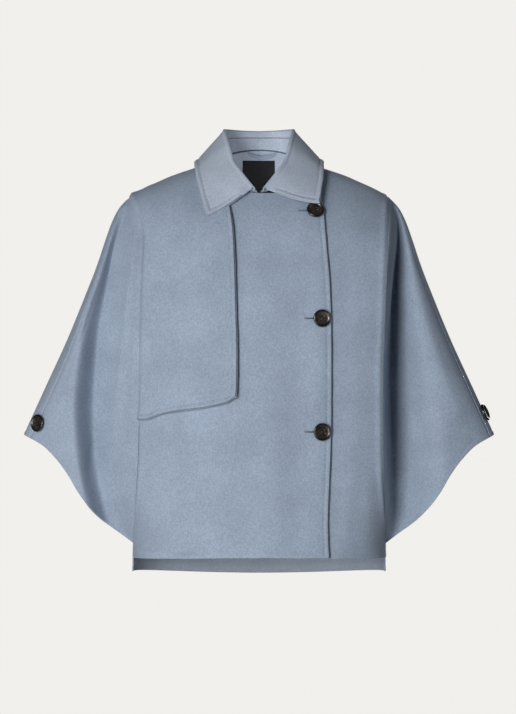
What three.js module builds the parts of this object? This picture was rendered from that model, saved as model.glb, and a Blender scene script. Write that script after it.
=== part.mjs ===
// A double-faced wool cape coat, filled out as if worn, in millimetres, +Z up, front towards -Y.
// The origin is the middle of the neck base, where the wearer's shoulders carry the coat.
// A panel is a wall of cloth: a grid of points on its outside, and the same points moved in.
// Pieces are named by the wearer's right and left. In tables of sizes, left and right are as seen
// from the front, so the wearer's right is left there, at -X.
import * as THREE from 'three';

// Cloth
const CLOTH = 2.2;
const LABEL_CLOTH = 0.9;
const LOOP_CLOTH = 1.2;
const SEAM_GAP = 0.45;
const NECK_GAP = 1.1;
const STAND_GAP = 0.8;
const LAP_GAP = 1.6;
const OVERARM_GAP = 0.7;
const SEWN_LAP_GAP = 0.5;
const LAYER = CLOTH + LAP_GAP;

// The general figure that fills the coat: its shoulder seams lie in one upright plane
const SHOULDER_PLANE = 6;
const SHOULDER_ROUND = 120;
const BODY_ROUND = 2.4;
const NECK_HALF = 68;
const NECK_SIDE_UP = 36;
const NECK_FRONT_UP = -24;
const NECK_BACK_UP = 51;
const NECK_CURVE = 2.1;

// Heights of the sleeve seams' ends and of the hems
const ARMHOLE_TOP = -28;
const ARMHOLE_BOTTOM = -581;
const FRONT_HEM = { side: -603, middle: -598 };
const BACK_HEM = { side: -626, middle: -636 };
const HEM_HALF = 203;
const SHOULDER_END = 205.9;

// The shoulder seam's height at each distance from the centre, as front and back lead up to it
const SHOULDER_LINE = [
  { out: 0, front: 45, back: 80 }, { out: 40, front: 42, back: 68 }, { out: 56, front: 39.5, back: 50 },
  { out: 68, front: 36, back: 36 }, { out: 84, front: 26.5, back: 26.5 },
  { out: 102, front: 19.5, back: 19.5 }, { out: 125, front: 11.8, back: 11.8 },
  { out: 142, front: 5.6, back: 5.6 },
  { out: 156, front: -0.6, back: -0.6 }, { out: 184, front: -13.2, back: -13.2 },
  { out: 195, front: -19.2, back: -19.2 },
  { out: 206, front: -28, back: -28 }, { out: 225, front: -50, back: -50 },
];

// Under the storm flap the shoulder lies lower, so that the flap comes out level with the other side
const UNDER_FLAP = { drop: 2.4, from: 76, to: 206, ease: 24 };

// Depth of the coat in front of and behind the shoulder plane at its middle
const BODY_DEPTH = [
  { up: -660, front: 142, back: 134 }, { up: -540, front: 144, back: 127 },
  { up: -440, front: 146, back: 121 }, { up: -320, front: 146, back: 117 },
  { up: -200, front: 141, back: 116 }, { up: -150, front: 133, back: 113 },
  { up: -100, front: 122, back: 108 }, { up: -60, front: 108, back: 101 },
  { up: -24, front: 95, back: 94 }, { up: 0, front: 91, back: 92 }, { up: 60, front: 78, back: 96 },
];

// The armhole seams and, under them, the side seams. left, right and back are how far out they lie,
// aheadLeft, aheadRight and behind how deep, lean how far the cloth's edge turns to the side, and
// square how squarely the panel turns into it
const SIDE_SEAM = [
  { up: -660, left: 203, right: 204, back: 203.5, aheadLeft: 0.25, aheadRight: 0.25,
    behind: 0.25, lean: 1, square: 2.3 },
  { up: -592, left: 201.5, right: 203.5, back: 202.5, aheadLeft: 0.25, aheadRight: 0.25,
    behind: 0.25, lean: 1, square: 2.3 },
  { up: -581, left: 201, right: 203, back: 202, aheadLeft: 5, aheadRight: 5,
    behind: 5, lean: 0.75, square: 2.2 },
  { up: -560, left: 199, right: 201, back: 199, aheadLeft: 30, aheadRight: 34,
    behind: 26, lean: 0.66, square: 1.9 },
  { up: -520, left: 196, right: 198, back: 194, aheadLeft: 64, aheadRight: 76,
    behind: 52, lean: 0.5, square: 1.5 },
  { up: -440, left: 190.5, right: 195.5, back: 189, aheadLeft: 90, aheadRight: 104,
    behind: 73, lean: 0.4, square: 1.15 },
  { up: -320, left: 187.5, right: 195, back: 187, aheadLeft: 93, aheadRight: 110,
    behind: 75, lean: 0.4, square: 1.1 },
  { up: -230, left: 186.5, right: 198, back: 187, aheadLeft: 92, aheadRight: 110,
    behind: 72, lean: 0.4, square: 1.1 },
  { up: -156, left: 184.5, right: 200.5, back: 188, aheadLeft: 88, aheadRight: 104,
    behind: 68, lean: 0.4, square: 1.1 },
  { up: -98, left: 182.5, right: 203.5, back: 190, aheadLeft: 84, aheadRight: 94,
    behind: 64, lean: 0.4, square: 1.1 },
  { up: -72, left: 186, right: 205, back: 194, aheadLeft: 82, aheadRight: 87,
    behind: 62, lean: 0.4, square: 1.1 },
  { up: -54, left: 194, right: 206, back: 199, aheadLeft: 80, aheadRight: 83,
    behind: 60, lean: 0.4, square: 1.1 },
  { up: -28, left: 206, right: 208, back: 207, aheadLeft: 80, aheadRight: 80,
    behind: 60, lean: 0.4, square: 1.1 },
];

// The buttoning edge of the right front, which laps over the left front's hidden edge
const FRONT_EDGE = [
  { up: -660, out: 112 }, { up: -600, out: 111.5 }, { up: -554, out: 109.5 }, { up: -437, out: 113.3 },
  { up: -374, out: 115 }, { up: -265, out: 115 }, { up: -186, out: 113.3 }, { up: -149, out: 111 },
  { up: -101, out: 107 }, { up: -54, out: 103.5 }, { up: -29, out: 99 }, { up: -10, out: 96 },
];
const FRONT_EDGE_TOP = -29;
const HIDDEN_EDGE = 24;

// The storm flap, sewn into the shoulder, collar and armhole seams: its free edge and its lower edge
const FLAP_EDGE = [
  { up: -350, out: 35.2 }, { up: -330, out: 33.8 }, { up: -280, out: 33 }, { up: -206, out: 34.7 },
  { up: -106, out: 38.1 }, { up: -45, out: 44.9 }, { up: 31, out: 76 },
];
const FLAP_LOWER = [
  { out: 30, up: -345 }, { out: 36, up: -346 }, { out: 51.8, up: -355 }, { out: 89, up: -363 },
  { out: 137, up: -369 }, { out: 167, up: -375.5 }, { out: 184, up: -382.1 },
];
const FLAP_TOP_OUT = 76;
const FLAP_LEVEL = -360;

// The overarm line of both sleeves, and how far the back's edge laps round it to the front
const OVERARM = [
  { down: 0, out: 213.5, up: -33, deep: 6, left: 2, right: 2 },
  { down: 0.032, out: 224, up: -45, deep: 6, left: 4, right: 3.5 },
  { down: 0.083, out: 234, up: -64, deep: 5.5, left: 6, right: 5 },
  { down: 0.147, out: 243, up: -88, deep: 5, left: 7.5, right: 5.6 },
  { down: 0.275, out: 259, up: -136, deep: 4, left: 9.5, right: 6.3 },
  { down: 0.404, out: 277.5, up: -184, deep: 3, left: 11, right: 7 },
  { down: 0.596, out: 307, up: -256, deep: 1, left: 14, right: 8 },
  { down: 0.789, out: 340, up: -328, deep: -1, left: 16.5, right: 9 },
  { down: 1, out: 376, up: -407, deep: -4, left: 17, right: 10 },
];

// Folds of the sleeves, from the shoulder (down 0) to the hem (down 1): a valley and a ridge at
// shares of the way from the armhole seam to the overarm line, how far back they lie, and how late
// the cloth drops to the valley: 0 at once from the seam, 1 only just before it
const FOLDS = {
  front_left: [
    { down: 0, valleyAt: 0.5, valley: 5.2, late: 0.5, ridgeAt: 0.75, ridge: 5 },
    { down: 0.03, valleyAt: 0.55, valley: -13, late: 0.5, ridgeAt: 0.79, ridge: -12 },
    { down: 0.1, valleyAt: 0.7, valley: -24, late: 0.6, ridgeAt: 0.86, ridge: -28 },
    { down: 0.19, valleyAt: 0.73, valley: -30, late: 0.6, ridgeAt: 0.86, ridge: -40 },
    { down: 0.3, valleyAt: 0.7, valley: -34, late: 0.6, ridgeAt: 0.87, ridge: -51 },
    { down: 0.46, valleyAt: 0.66, valley: -35, late: 0.55, ridgeAt: 0.87, ridge: -62 },
    { down: 0.62, valleyAt: 0.58, valley: -31, late: 0.5, ridgeAt: 0.8, ridge: -69 },
    { down: 0.77, valleyAt: 0.49, valley: -26, late: 0.45, ridgeAt: 0.71, ridge: -69 },
    { down: 0.92, valleyAt: 0.33, valley: -19, late: 0.4, ridgeAt: 0.57, ridge: -60 },
    { down: 1, valleyAt: 0.2, valley: -14, late: 0.4, ridgeAt: 0.44, ridge: -50 },
  ],
  front_right: [
    { down: 0, valleyAt: 0.5, valley: 5.2, late: 0.5, ridgeAt: 0.75, ridge: 5 },
    { down: 0.03, valleyAt: 0.52, valley: -10, late: 0.6, ridgeAt: 0.77, ridge: -11 },
    { down: 0.07, valleyAt: 0.56, valley: -17, late: 0.75, ridgeAt: 0.77, ridge: -21 },
    { down: 0.15, valleyAt: 0.44, valley: -24, late: 0.85, ridgeAt: 0.76, ridge: -35 },
    { down: 0.24, valleyAt: 0.27, valley: -27, late: 0.85, ridgeAt: 0.74, ridge: -47 },
    { down: 0.33, valleyAt: 0.16, valley: -28, late: 0.6, ridgeAt: 0.7, ridge: -54 },
    { down: 0.45, valleyAt: 0.1, valley: -28, late: 0.3, ridgeAt: 0.67, ridge: -62 },
    { down: 0.62, valleyAt: 0.08, valley: -28, late: 0.2, ridgeAt: 0.66, ridge: -68 },
    { down: 0.82, valleyAt: 0.08, valley: -22, late: 0.2, ridgeAt: 0.65, ridge: -66 },
    { down: 0.94, valleyAt: 0.08, valley: -8, late: 0.3, ridgeAt: 0.61, ridge: -56 },
    { down: 1, valleyAt: 0.08, valley: -2, late: 0.5, ridgeAt: 0.58, ridge: -50 },
  ],
  back: [
    { down: 0, valleyAt: 0.45, valley: 7, late: 0.5, ridgeAt: 0.7, ridge: 7.2 },
    { down: 0.03, valleyAt: 0.5, valley: 20, late: 0.5, ridgeAt: 0.77, ridge: 19 },
    { down: 0.1, valleyAt: 0.45, valley: 32, late: 0.5, ridgeAt: 0.76, ridge: 36 },
    { down: 0.25, valleyAt: 0.44, valley: 42, late: 0.5, ridgeAt: 0.78, ridge: 54 },
    { down: 0.39, valleyAt: 0.42, valley: 46, late: 0.5, ridgeAt: 0.78, ridge: 64 },
    { down: 0.62, valleyAt: 0.38, valley: 44, late: 0.5, ridgeAt: 0.77, ridge: 74 },
    { down: 0.82, valleyAt: 0.34, valley: 36, late: 0.5, ridgeAt: 0.74, ridge: 71 },
    { down: 1, valleyAt: 0.28, valley: 24, late: 0.5, ridgeAt: 0.68, ridge: 55 },
  ],
};

// The sleeves' hem: its rise over the armhole's bottom at shares of the way out to its point
const SLEEVE_HEM = [
  { share: 0, up: 0 }, { share: 0.093, up: 13 }, { share: 0.27, up: 37 }, { share: 0.4, up: 61 },
  { share: 0.5, up: 85 }, { share: 0.58, up: 109 }, { share: 0.68, up: 133 }, { share: 0.82, up: 157 },
  { share: 1, up: 174 },
];
const HEM_FADE = 3;

// The collar, from its front ends (turn 0) over the shoulder (0.5) to the centre back (1):
// the line it rolls over and its outer edge on either side
const COLLAR = [
  { turn: 0.03, rollOut: 9, rollDeep: -89, rollUp: -15, leftOut: 81, leftDeep: -103, leftUp: -62,
    rightOut: 95.2, rightDeep: -93, rightUp: -42 },
  { turn: 0.12, rollOut: 27, rollDeep: -80, rollUp: 8, leftOut: 87.5, leftDeep: -91, leftUp: -42,
    rightOut: 97.5, rightDeep: -81, rightUp: -27 },
  { turn: 0.25, rollOut: 42, rollDeep: -60, rollUp: 31, leftOut: 96, leftDeep: -70, leftUp: -10,
    rightOut: 100.5, rightDeep: -61, rightUp: -5 },
  { turn: 0.375, rollOut: 50, rollDeep: -36, rollUp: 60, leftOut: 101, leftDeep: -36, leftUp: 18,
    rightOut: 102, rightDeep: -32, rightUp: 17 },
  { turn: 0.5, rollOut: 55, rollDeep: -4, rollUp: 79, leftOut: 101, leftDeep: 6, leftUp: 27,
    rightOut: 101.5, rightDeep: 6, rightUp: 27 },
  { turn: 0.625, rollOut: 55, rollDeep: 23, rollUp: 83, leftOut: 97, leftDeep: 38, leftUp: 22,
    rightOut: 97, rightDeep: 38, rightUp: 22 },
  { turn: 0.75, rollOut: 44, rollDeep: 49, rollUp: 83.5, leftOut: 80, leftDeep: 68, leftUp: 14,
    rightOut: 80, rightDeep: 68, rightUp: 14 },
  { turn: 0.875, rollOut: 25, rollDeep: 66, rollUp: 83, leftOut: 44, leftDeep: 90, leftUp: 11,
    rightOut: 44, rightDeep: 90, rightUp: 11 },
  { turn: 1, rollOut: 0, rollDeep: 72, rollUp: 82.5, leftOut: 0, leftDeep: 100, leftUp: 10,
    rightOut: 0, rightDeep: 100, rightUp: 10 },
];
const STRAIGHT_BACK = 0.94;
const ROLL_RADIUS = 3.4;
const STAND_SHARE = 0.72;
const STAND_REACH = 0.992;
const FALL_REACH = 0.97;
const FALL_BOW = 2;
const WING_SAG = { low: 4.5, ahead: 2.4, fade: 0.3 };

// Label and hanger loop inside the back neck
const LABEL = { from: -27, to: 26, top: 33, bottom: -22, clear: 0.9, across: 6, down: 5 };
const LOOP = { from: -19, to: 29, up: 50.5, sag: 8, wide: 5, clear: 1, across: 12 };

// Buttons: a dished disc with a raised rim on a short stem of thread
const BUTTON = {
  radius: 14, rim: 2.4, thick: 4.2, dish: 1.3, hollow: 0.4, edge: 1.1,
  stem: 2.2, stemTall: 1.1, clear: 0.35,
};
const FRONT_BUTTONS = [
  { name: 'button_front_top', out: 88.5, up: -53 },
  { name: 'button_front_middle', out: 98.3, up: -222.7 },
  { name: 'button_front_lower', out: 98.5, up: -400.5 },
];
const SLEEVE_BUTTON_LIFT = 0.25;
const SLEEVE_BUTTONS = [
  { name: 'button_sleeve_right', side: -1, down: 0.93, round: 54 },
  { name: 'button_sleeve_left', side: 1, down: 0.905, round: 76 },
];

// Grid of each piece: cells across and cells down
const ROWS_TO_ARMHOLE = 20;
const ROWS_TO_HEM = 2;
const ROW_GROWTH = 1.55;
const FLAP_ROWS = 15;
const FRONT_ACROSS = { flap: 7, shoulder: 8, neck: 7, lap: 4 };
const UNDER_ACROSS = { neck: 5, shoulder: 5 };
const BACK_ACROSS = { shoulder: 5, neck: 5 };
const SLEEVE_ACROSS = { valley: 4, ridge: 4, over: 3, lap: 2 };
const STAND_CELLS = { across: 32, down: 2 };
const FALL_CELLS = { across: 32, inside: 1, roll: 4, down: 3 };
const BUTTON_SIDES = 18;

// Colours and finishes
const wool = new THREE.MeshStandardMaterial({ color: 0x8e9cac, roughness: 0.95, metalness: 0 });
const satin = new THREE.MeshStandardMaterial({ color: 0x222224, roughness: 0.6, metalness: 0 });
const horn = new THREE.MeshStandardMaterial({ color: 0x1d1916, roughness: 0.2, metalness: 0 });

const lerp = THREE.MathUtils.lerp;
const clamp = THREE.MathUtils.clamp;
const vector = (x, y, z) => new THREE.Vector3(x, y, z);
const swing = (t) => (1 - Math.cos(Math.PI * t)) / 2;

// A column of a table at one place, on a smooth curve that never overshoots its rows
function read(table, place, column, at) {
  const last = table.length - 1;
  const here = clamp(at, table[0][place], table[last][place]);
  let k = 0;
  while (k < last - 1 && here > table[k + 1][place]) k += 1;
  const slope = (i) => {
    const run = table[i + 1][place] - table[i][place];
    return (table[i + 1][column] - table[i][column]) / run;
  };
  const lean = (i) => {
    if (i === 0) return slope(0);
    if (i === last) return slope(last - 1);
    const before = slope(i - 1);
    const after = slope(i);
    return before * after <= 0 ? 0 : (2 * before * after) / (before + after);
  };
  const span = table[k + 1][place] - table[k][place];
  const t = (here - table[k][place]) / span;
  const ease = t * t * (3 - 2 * t);
  const start = t * (1 - t) * (1 - t) * span * lean(k);
  const end = t * t * (1 - t) * span * lean(k + 1);
  return lerp(table[k][column], table[k + 1][column], ease) + start - end;
}

// The direction a surface faces at a point, from two short steps on it
function facingOf(surface, a, b, outward) {
  const step = 0.01;
  const across = surface(a + step, b).sub(surface(a - step, b));
  const along = surface(a, b + step).sub(surface(a, b - step));
  return across.cross(along).normalize().multiplyScalar(outward);
}

// Body
function shoulderUp(face, x) {
  const { drop, from, to, ease } = UNDER_FLAP;
  const under = swing(clamp((-x - from) / ease, 0, 1)) * swing(clamp((to + x) / ease, 0, 1));
  return read(SHOULDER_LINE, 'out', face, Math.abs(x)) - drop * under;
}
function seamOut(face, x, z) {
  const column = x < 0 ? 'left' : 'right';
  return read(SIDE_SEAM, 'up', face === 'back' ? 'back' : column, z);
}

// How far the cloth has turned from lying on the shoulder (0) to hanging upright (1)
function turned(face, x, z) {
  return clamp((shoulderUp(face, x) - z) / SHOULDER_ROUND, 0, 1);
}

// A point of the body on its front or back: its depth falls from the middle to the side seam as a
// rounded curve, and from the chest up to the shoulder seam as a quarter of a circle
function bodyPoint(face, x, z) {
  const share = Math.min(Math.abs(x) / seamOut(face, x, z), 1);
  const middle = read(BODY_DEPTH, 'up', face, z);
  const ahead = x < 0 ? 'aheadLeft' : 'aheadRight';
  const side = read(SIDE_SEAM, 'up', face === 'front' ? ahead : 'behind', z);
  const round = (1 - share ** BODY_ROUND) ** (1 / read(SIDE_SEAM, 'up', 'square', z));
  const turn = 1 - turned(face, x, z);
  const depth = Math.max(lerp(side, middle, round) * Math.sqrt(1 - turn * turn), SEAM_GAP / 2);
  return vector(x, face === 'front' ? SHOULDER_PLANE - depth : SHOULDER_PLANE + depth, z);
}

// Which way the cloth's edge faces along an armhole or side seam, the same for both its pieces
function seamFacing(face, side, z) {
  const up = 1 - turned(face, side * seamOut(face, side, z), z);
  const flat = Math.sqrt(1 - up * up);
  const lean = read(SIDE_SEAM, 'up', 'lean', z);
  const ahead = Math.sqrt(1 - lean * lean) * (face === 'front' ? -1 : 1);
  return vector(side * flat * lean, flat * ahead, up);
}

// Which way it faces along the shoulder seam
function shoulderFacing(x) {
  const step = 2;
  const slope = (shoulderUp('front', x + step) - shoulderUp('front', x - step)) / (2 * step);
  return vector(-slope, 0, 1).normalize();
}

// The neck seam's height on the front and on the back
function neckUp(face, x) {
  const share = Math.min(Math.abs(x) / NECK_HALF, 1) ** NECK_CURVE;
  return lerp(face === 'front' ? NECK_FRONT_UP : NECK_BACK_UP, NECK_SIDE_UP, share);
}

// A panel's upper edge: the shoulder seam, then the neck seam
function upperEdge(face, x) {
  return Math.abs(x) < NECK_HALF ? neckUp(face, x) : shoulderUp(face, x);
}

function hemUp(hem, x) {
  return lerp(hem.middle, hem.side, Math.min(Math.abs(x) / HEM_HALF, 1) ** 2);
}

// How far down a row lies: 0 at the top, 1 at the armhole's bottom, close together on the shoulder
const rowShare = (row) => (row / ROWS_TO_ARMHOLE) ** ROW_GROWTH;

// The x of the columns along the upper edge: even steps on the shoulder, even turns on the neck
function shoulderColumns(from, to, count) {
  return Array.from({ length: count }, (_, i) => lerp(from, to, i / count));
}
function neckColumns(from, to, count) {
  const angle = (x) => Math.asin(clamp(x / NECK_HALF, -1, 1));
  const out = (share) => NECK_HALF * Math.sin(lerp(angle(from), angle(to), share));
  return Array.from({ length: count }, (_, i) => out(i / count));
}

// A band of a body panel between two edges, each a function of height. Its columns start at the
// given x on the upper edge and end at shares of the hem, and its rows pass through the level
// where the storm flap ends
function band(face, columns, leftEdge, rightEdge, top, hem, spread) {
  const last = columns.length - 1;
  const topShares = columns.map((x, column) => {
    if (column === 0 || column === last) return column / last;
    return clamp((x - leftEdge(top(x))) / (rightEdge(top(x)) - leftEdge(top(x))), 0, 1);
  });
  const flapShare = rowShare(FLAP_ROWS);
  return columns.map((x, column) => (row) => {
    const share = spread(column / last);
    const drop = rowShare(Math.min(row, ROWS_TO_ARMHOLE));
    const across = lerp(topShares[column], share, drop);
    const middle = lerp(topShares[column], share, flapShare);
    const out = Math.abs(lerp(leftEdge(FLAP_LEVEL), rightEdge(FLAP_LEVEL), middle));
    const level = read(FLAP_LOWER, 'out', 'up', out);
    const below = lerp(leftEdge(ARMHOLE_BOTTOM), rightEdge(ARMHOLE_BOTTOM), share);
    const hemShare = Math.max(row - ROWS_TO_ARMHOLE, 0) / ROWS_TO_HEM;
    const upper = lerp(top(x), level, Math.min(drop / flapShare, 1));
    const lower = lerp(upper, ARMHOLE_BOTTOM, clamp((drop - flapShare) / (1 - flapShare), 0, 1));
    const z = lerp(lower, hemUp(hem, below), hemShare);
    return bodyPoint(face, lerp(leftEdge(z), rightEdge(z), across), z);
  });
}

// A body panel from one band, or from two that share a column
function bodyPanel(...bands) {
  const columns = bands.flatMap((columnsOf, i) => (i === 0 ? columnsOf : columnsOf.slice(1)));
  return {
    point: (column, row) => columns[column](row),
    across: columns.length - 1,
    down: ROWS_TO_ARMHOLE + ROWS_TO_HEM,
  };
}

// Sleeves
const sleeveKey = (face, side) => (face === 'back' ? 'back' : side < 0 ? 'front_left' : 'front_right');

// A point of a sleeve, at a share of the way from its armhole seam to the overarm line
function sleevePlace(face, side, down, share) {
  const seamUp = lerp(ARMHOLE_TOP, ARMHOLE_BOTTOM, down);
  const seamX = seamOut(face, side, seamUp) + SEAM_GAP;
  const x = lerp(seamX, read(OVERARM, 'down', 'out', down), share);
  const curve = read(SLEEVE_HEM, 'share', 'up', share) - share * SLEEVE_HEM.at(-1).up;
  const z = lerp(seamUp, read(OVERARM, 'down', 'up', down), share) + curve * down ** HEM_FADE;
  return { x: side * x, z, seamUp };
}

// From the seam to the valley of its fold, then in half a wave to the ridge, then a quarter turn to
// the overarm
function sleevePoint(face, side, down, stretch, t) {
  const rows = FOLDS[sleeveKey(face, side)];
  const fold = (column) => read(rows, 'down', column, down);
  const over = read(OVERARM, 'down', 'deep', down);
  const sign = face === 'front' ? -1 : 1;
  const gap = SEAM_GAP / 2;
  let share;
  let deep;
  if (stretch === 'valley') {
    const seamUp = lerp(ARMHOLE_TOP, ARMHOLE_BOTTOM, down);
    const turn = (t * Math.PI) / 2;
    const drop = lerp(Math.sin(turn), 1 - Math.cos(turn), fold('late'));
    share = lerp(0, fold('valleyAt'), t);
    deep = lerp(bodyPoint(face, side * seamOut(face, side, seamUp), seamUp).y, fold('valley'), drop);
  } else if (stretch === 'ridge') {
    share = lerp(fold('valleyAt'), fold('ridgeAt'), t);
    deep = lerp(fold('valley'), fold('ridge'), swing(t));
  } else {
    share = lerp(fold('ridgeAt'), 1, Math.sin((t * Math.PI) / 2));
    deep = lerp(over, fold('ridge'), Math.cos((t * Math.PI) / 2));
  }
  const place = sleevePlace(face, side, down, share);
  if (down === 0) deep = SHOULDER_PLANE + sign * gap;
  return vector(place.x, deep, place.z);
}

// How far round the front quarter turn the lapped seam lies
function lapTurn(side, down) {
  const rows = FOLDS[sleeveKey('front', side)];
  const from = sleevePlace('front', side, down, read(rows, 'down', 'ridgeAt', down));
  const to = sleevePlace('front', side, down, 1);
  const wide = Math.hypot(to.x - from.x, to.z - from.z);
  const lap = read(OVERARM, 'down', side < 0 ? 'left' : 'right', down);
  return (Math.asin(clamp(1 - lap / wide, 0.1, 0.95)) * 2) / Math.PI;
}

// The cloth's edge along the lapped overarm seam faces as the front gore does there
function lapFacing(side, down) {
  const surface = (a, b) => sleevePoint('front', side, b, 'over', a);
  return facingOf(surface, lapTurn(side, down), clamp(down, 0.02, 0.98), -side);
}

function sleeveFront(side) {
  const cells = SLEEVE_ACROSS;
  const across = cells.valley + cells.ridge + cells.over;
  const point = (column, row) => {
    const down = rowShare(row);
    if (column <= cells.valley) return sleevePoint('front', side, down, 'valley', column / cells.valley);
    const past = column - cells.valley;
    if (past <= cells.ridge) return sleevePoint('front', side, down, 'ridge', past / cells.ridge);
    const turn = (past - cells.ridge) / cells.over;
    return sleevePoint('front', side, down, 'over', lapTurn(side, down) * turn);
  };
  return { point, across, down: ROWS_TO_ARMHOLE };
}

function sleeveBack(side) {
  const cells = SLEEVE_ACROSS;
  const across = cells.valley + cells.ridge + cells.over + cells.lap;
  const point = (column, row) => {
    const down = rowShare(row);
    if (column <= cells.valley) return sleevePoint('back', side, down, 'valley', column / cells.valley);
    const past = column - cells.valley;
    if (past <= cells.ridge) return sleevePoint('back', side, down, 'ridge', past / cells.ridge);
    const beyond = past - cells.ridge;
    if (beyond <= cells.over) return sleevePoint('back', side, down, 'over', beyond / cells.over);
    const turn = lerp(1, lapTurn(side, down), (beyond - cells.over) / cells.lap);
    const place = sleevePoint('front', side, down, 'over', turn);
    if (beyond === cells.over + cells.lap) place.x += side * OVERARM_GAP;
    if (row === 0) place.y = SHOULDER_PLANE + SEAM_GAP / 2;
    return place;
  };
  return { point, across, down: ROWS_TO_ARMHOLE };
}

// Collar
const wingKey = (side) => (side < 0 ? 'left' : 'right');

// A point of the neck seam: turn 0 at the centre front, 0.5 at the shoulder, 1 at the centre back
function neckPoint(side, turn) {
  const x = side * NECK_HALF * Math.sin(turn * Math.PI);
  const face = turn < 0.5 ? 'front' : 'back';
  return bodyPoint(face, x, neckUp(face, x));
}

// One section through the collar, with its foot on the neck seam
function collarSection(along) {
  const side = along < 0 ? -1 : 1;
  const turn = 1 - Math.abs(along);
  const wing = wingKey(side);
  const value = (column) => read(COLLAR, 'turn', column, turn);
  const foot = neckPoint(side, turn);
  foot.z += NECK_GAP;
  const roll = vector(side * value('rollOut'), value('rollDeep'), value('rollUp'));
  const edge = vector(side * value(wing + 'Out'), value(wing + 'Deep'), value(wing + 'Up'));
  const out = vector(edge.x - roll.x, edge.y - roll.y, 0).normalize();
  if (turn > STRAIGHT_BACK) out.set(0, 1, 0);
  const radius = Math.min(ROLL_RADIUS, (roll.z - foot.z) * 0.5);
  const centre = vector(roll.x, roll.y, roll.z - radius);
  const inside = centre.clone().addScaledVector(out, -radius);
  const seam = foot.clone().lerp(inside, STAND_SHARE);
  const rise = inside.clone().sub(foot).normalize();
  const facing = out.clone().addScaledVector(rise, -out.dot(rise)).normalize().negate();
  return { foot, seam, inside, centre, out, radius, edge, rise, facing };
}

// Along the stand or the fall from one front end over the back to the other
const alongStand = (column) => lerp(-STAND_REACH, STAND_REACH, column / STAND_CELLS.across);
const alongFall = (column) => lerp(-FALL_REACH, FALL_REACH, column / FALL_CELLS.across);

function collarStand() {
  const { across, down } = STAND_CELLS;
  const point = (column, row) => {
    const section = collarSection(alongStand(column));
    const top = section.seam.clone().addScaledVector(section.rise, -STAND_GAP);
    return top.lerp(section.foot, row / down);
  };
  return { point, across, down };
}

function collarFall() {
  const cells = FALL_CELLS;
  const down = cells.inside + cells.roll + cells.down;
  const point = (column, row) => {
    const along = alongFall(column);
    const { seam, inside, centre, out, radius, edge } = collarSection(along);
    if (row < cells.inside) return seam.clone().lerp(inside, row / cells.inside);
    if (row <= cells.inside + cells.roll) {
      const angle = (Math.PI * (row - cells.inside)) / cells.roll;
      const place = centre.clone().addScaledVector(out, -radius * Math.cos(angle));
      place.z += radius * Math.sin(angle);
      return place;
    }
    const t = (row - cells.inside - cells.roll) / cells.down;
    const place = centre.clone().addScaledVector(out, radius).lerp(edge, t);
    const front = swing(clamp(1 - (1 - Math.abs(along)) / WING_SAG.fade, 0, 1)) * Math.sin(Math.PI * t);
    place.z -= WING_SAG.low * front;
    place.y -= WING_SAG.ahead * front;
    return place.addScaledVector(out, FALL_BOW * Math.sin(Math.PI * t));
  };
  return { point, across: cells.across, down };
}

// A wall of cloth from a grid of points, seen from outside with its columns to the right and its
// rows downwards. facing gives the direction of the cloth's edge where a seam fixes it
const PLAIN = { lift: 0, thick: CLOTH, outward: 1, facing: () => null };
function wall({ point, across, down }, settings) {
  const { lift, thick, outward, facing } = { ...PLAIN, ...settings };
  const grid = [];
  for (let row = 0; row <= down; row += 1) {
    for (let column = 0; column <= across; column += 1) grid.push(point(column, row));
  }
  const at = (row, column) => row * (across + 1) + column;
  const outside = [];
  const inside = [];
  for (let row = 0; row <= down; row += 1) {
    for (let column = 0; column <= across; column += 1) {
      const right = grid[at(row, Math.min(column + 1, across))].clone();
      right.sub(grid[at(row, Math.max(column - 1, 0))]);
      const below = grid[at(Math.min(row + 1, down), column)].clone();
      below.sub(grid[at(Math.max(row - 1, 0), column)]);
      const normal = below.cross(right).normalize().multiplyScalar(outward);
      const place = grid[at(row, column)];
      const rise = typeof lift === 'function' ? lift(place) : lift;
      const outer = place.clone().addScaledVector(normal, rise);
      outside.push(outer);
      inside.push(outer.clone().addScaledVector(facing(column, row, place, normal) ?? normal, -thick));
    }
  }
  const count = grid.length;
  const index = [];
  const face = (a, b, c) => index.push(...(outward > 0 ? [a, b, c] : [a, c, b]));
  for (let row = 0; row < down; row += 1) {
    for (let column = 0; column < across; column += 1) {
      const a = at(row, column);
      const b = at(row, column + 1);
      const c = at(row + 1, column + 1);
      const d = at(row + 1, column);
      face(a, d, b);
      face(b, d, c);
      face(a + count, b + count, d + count);
      face(b + count, c + count, d + count);
    }
  }
  const border = [];
  for (let row = 0; row < down; row += 1) border.push(at(row, 0));
  for (let column = 0; column < across; column += 1) border.push(at(down, column));
  for (let row = down; row > 0; row -= 1) border.push(at(row, across));
  for (let column = across; column > 0; column -= 1) border.push(at(0, column));
  border.forEach((p, i) => {
    const q = border[(i + 1) % border.length];
    face(q, p, p + count);
    face(q, p + count, q + count);
  });
  const geometry = new THREE.BufferGeometry();
  const points = [...outside, ...inside].flatMap((v) => [v.x, v.y, v.z]);
  geometry.setAttribute('position', new THREE.Float32BufferAttribute(points, 3));
  geometry.setIndex(index);
  geometry.computeVertexNormals();
  return geometry;
}

const coat = new THREE.Group();
coat.name = 'wool_cape_coat';
function add(name, geometry, material) {
  const mesh = new THREE.Mesh(geometry, material);
  mesh.name = name;
  coat.add(mesh);
  return mesh;
}

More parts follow.
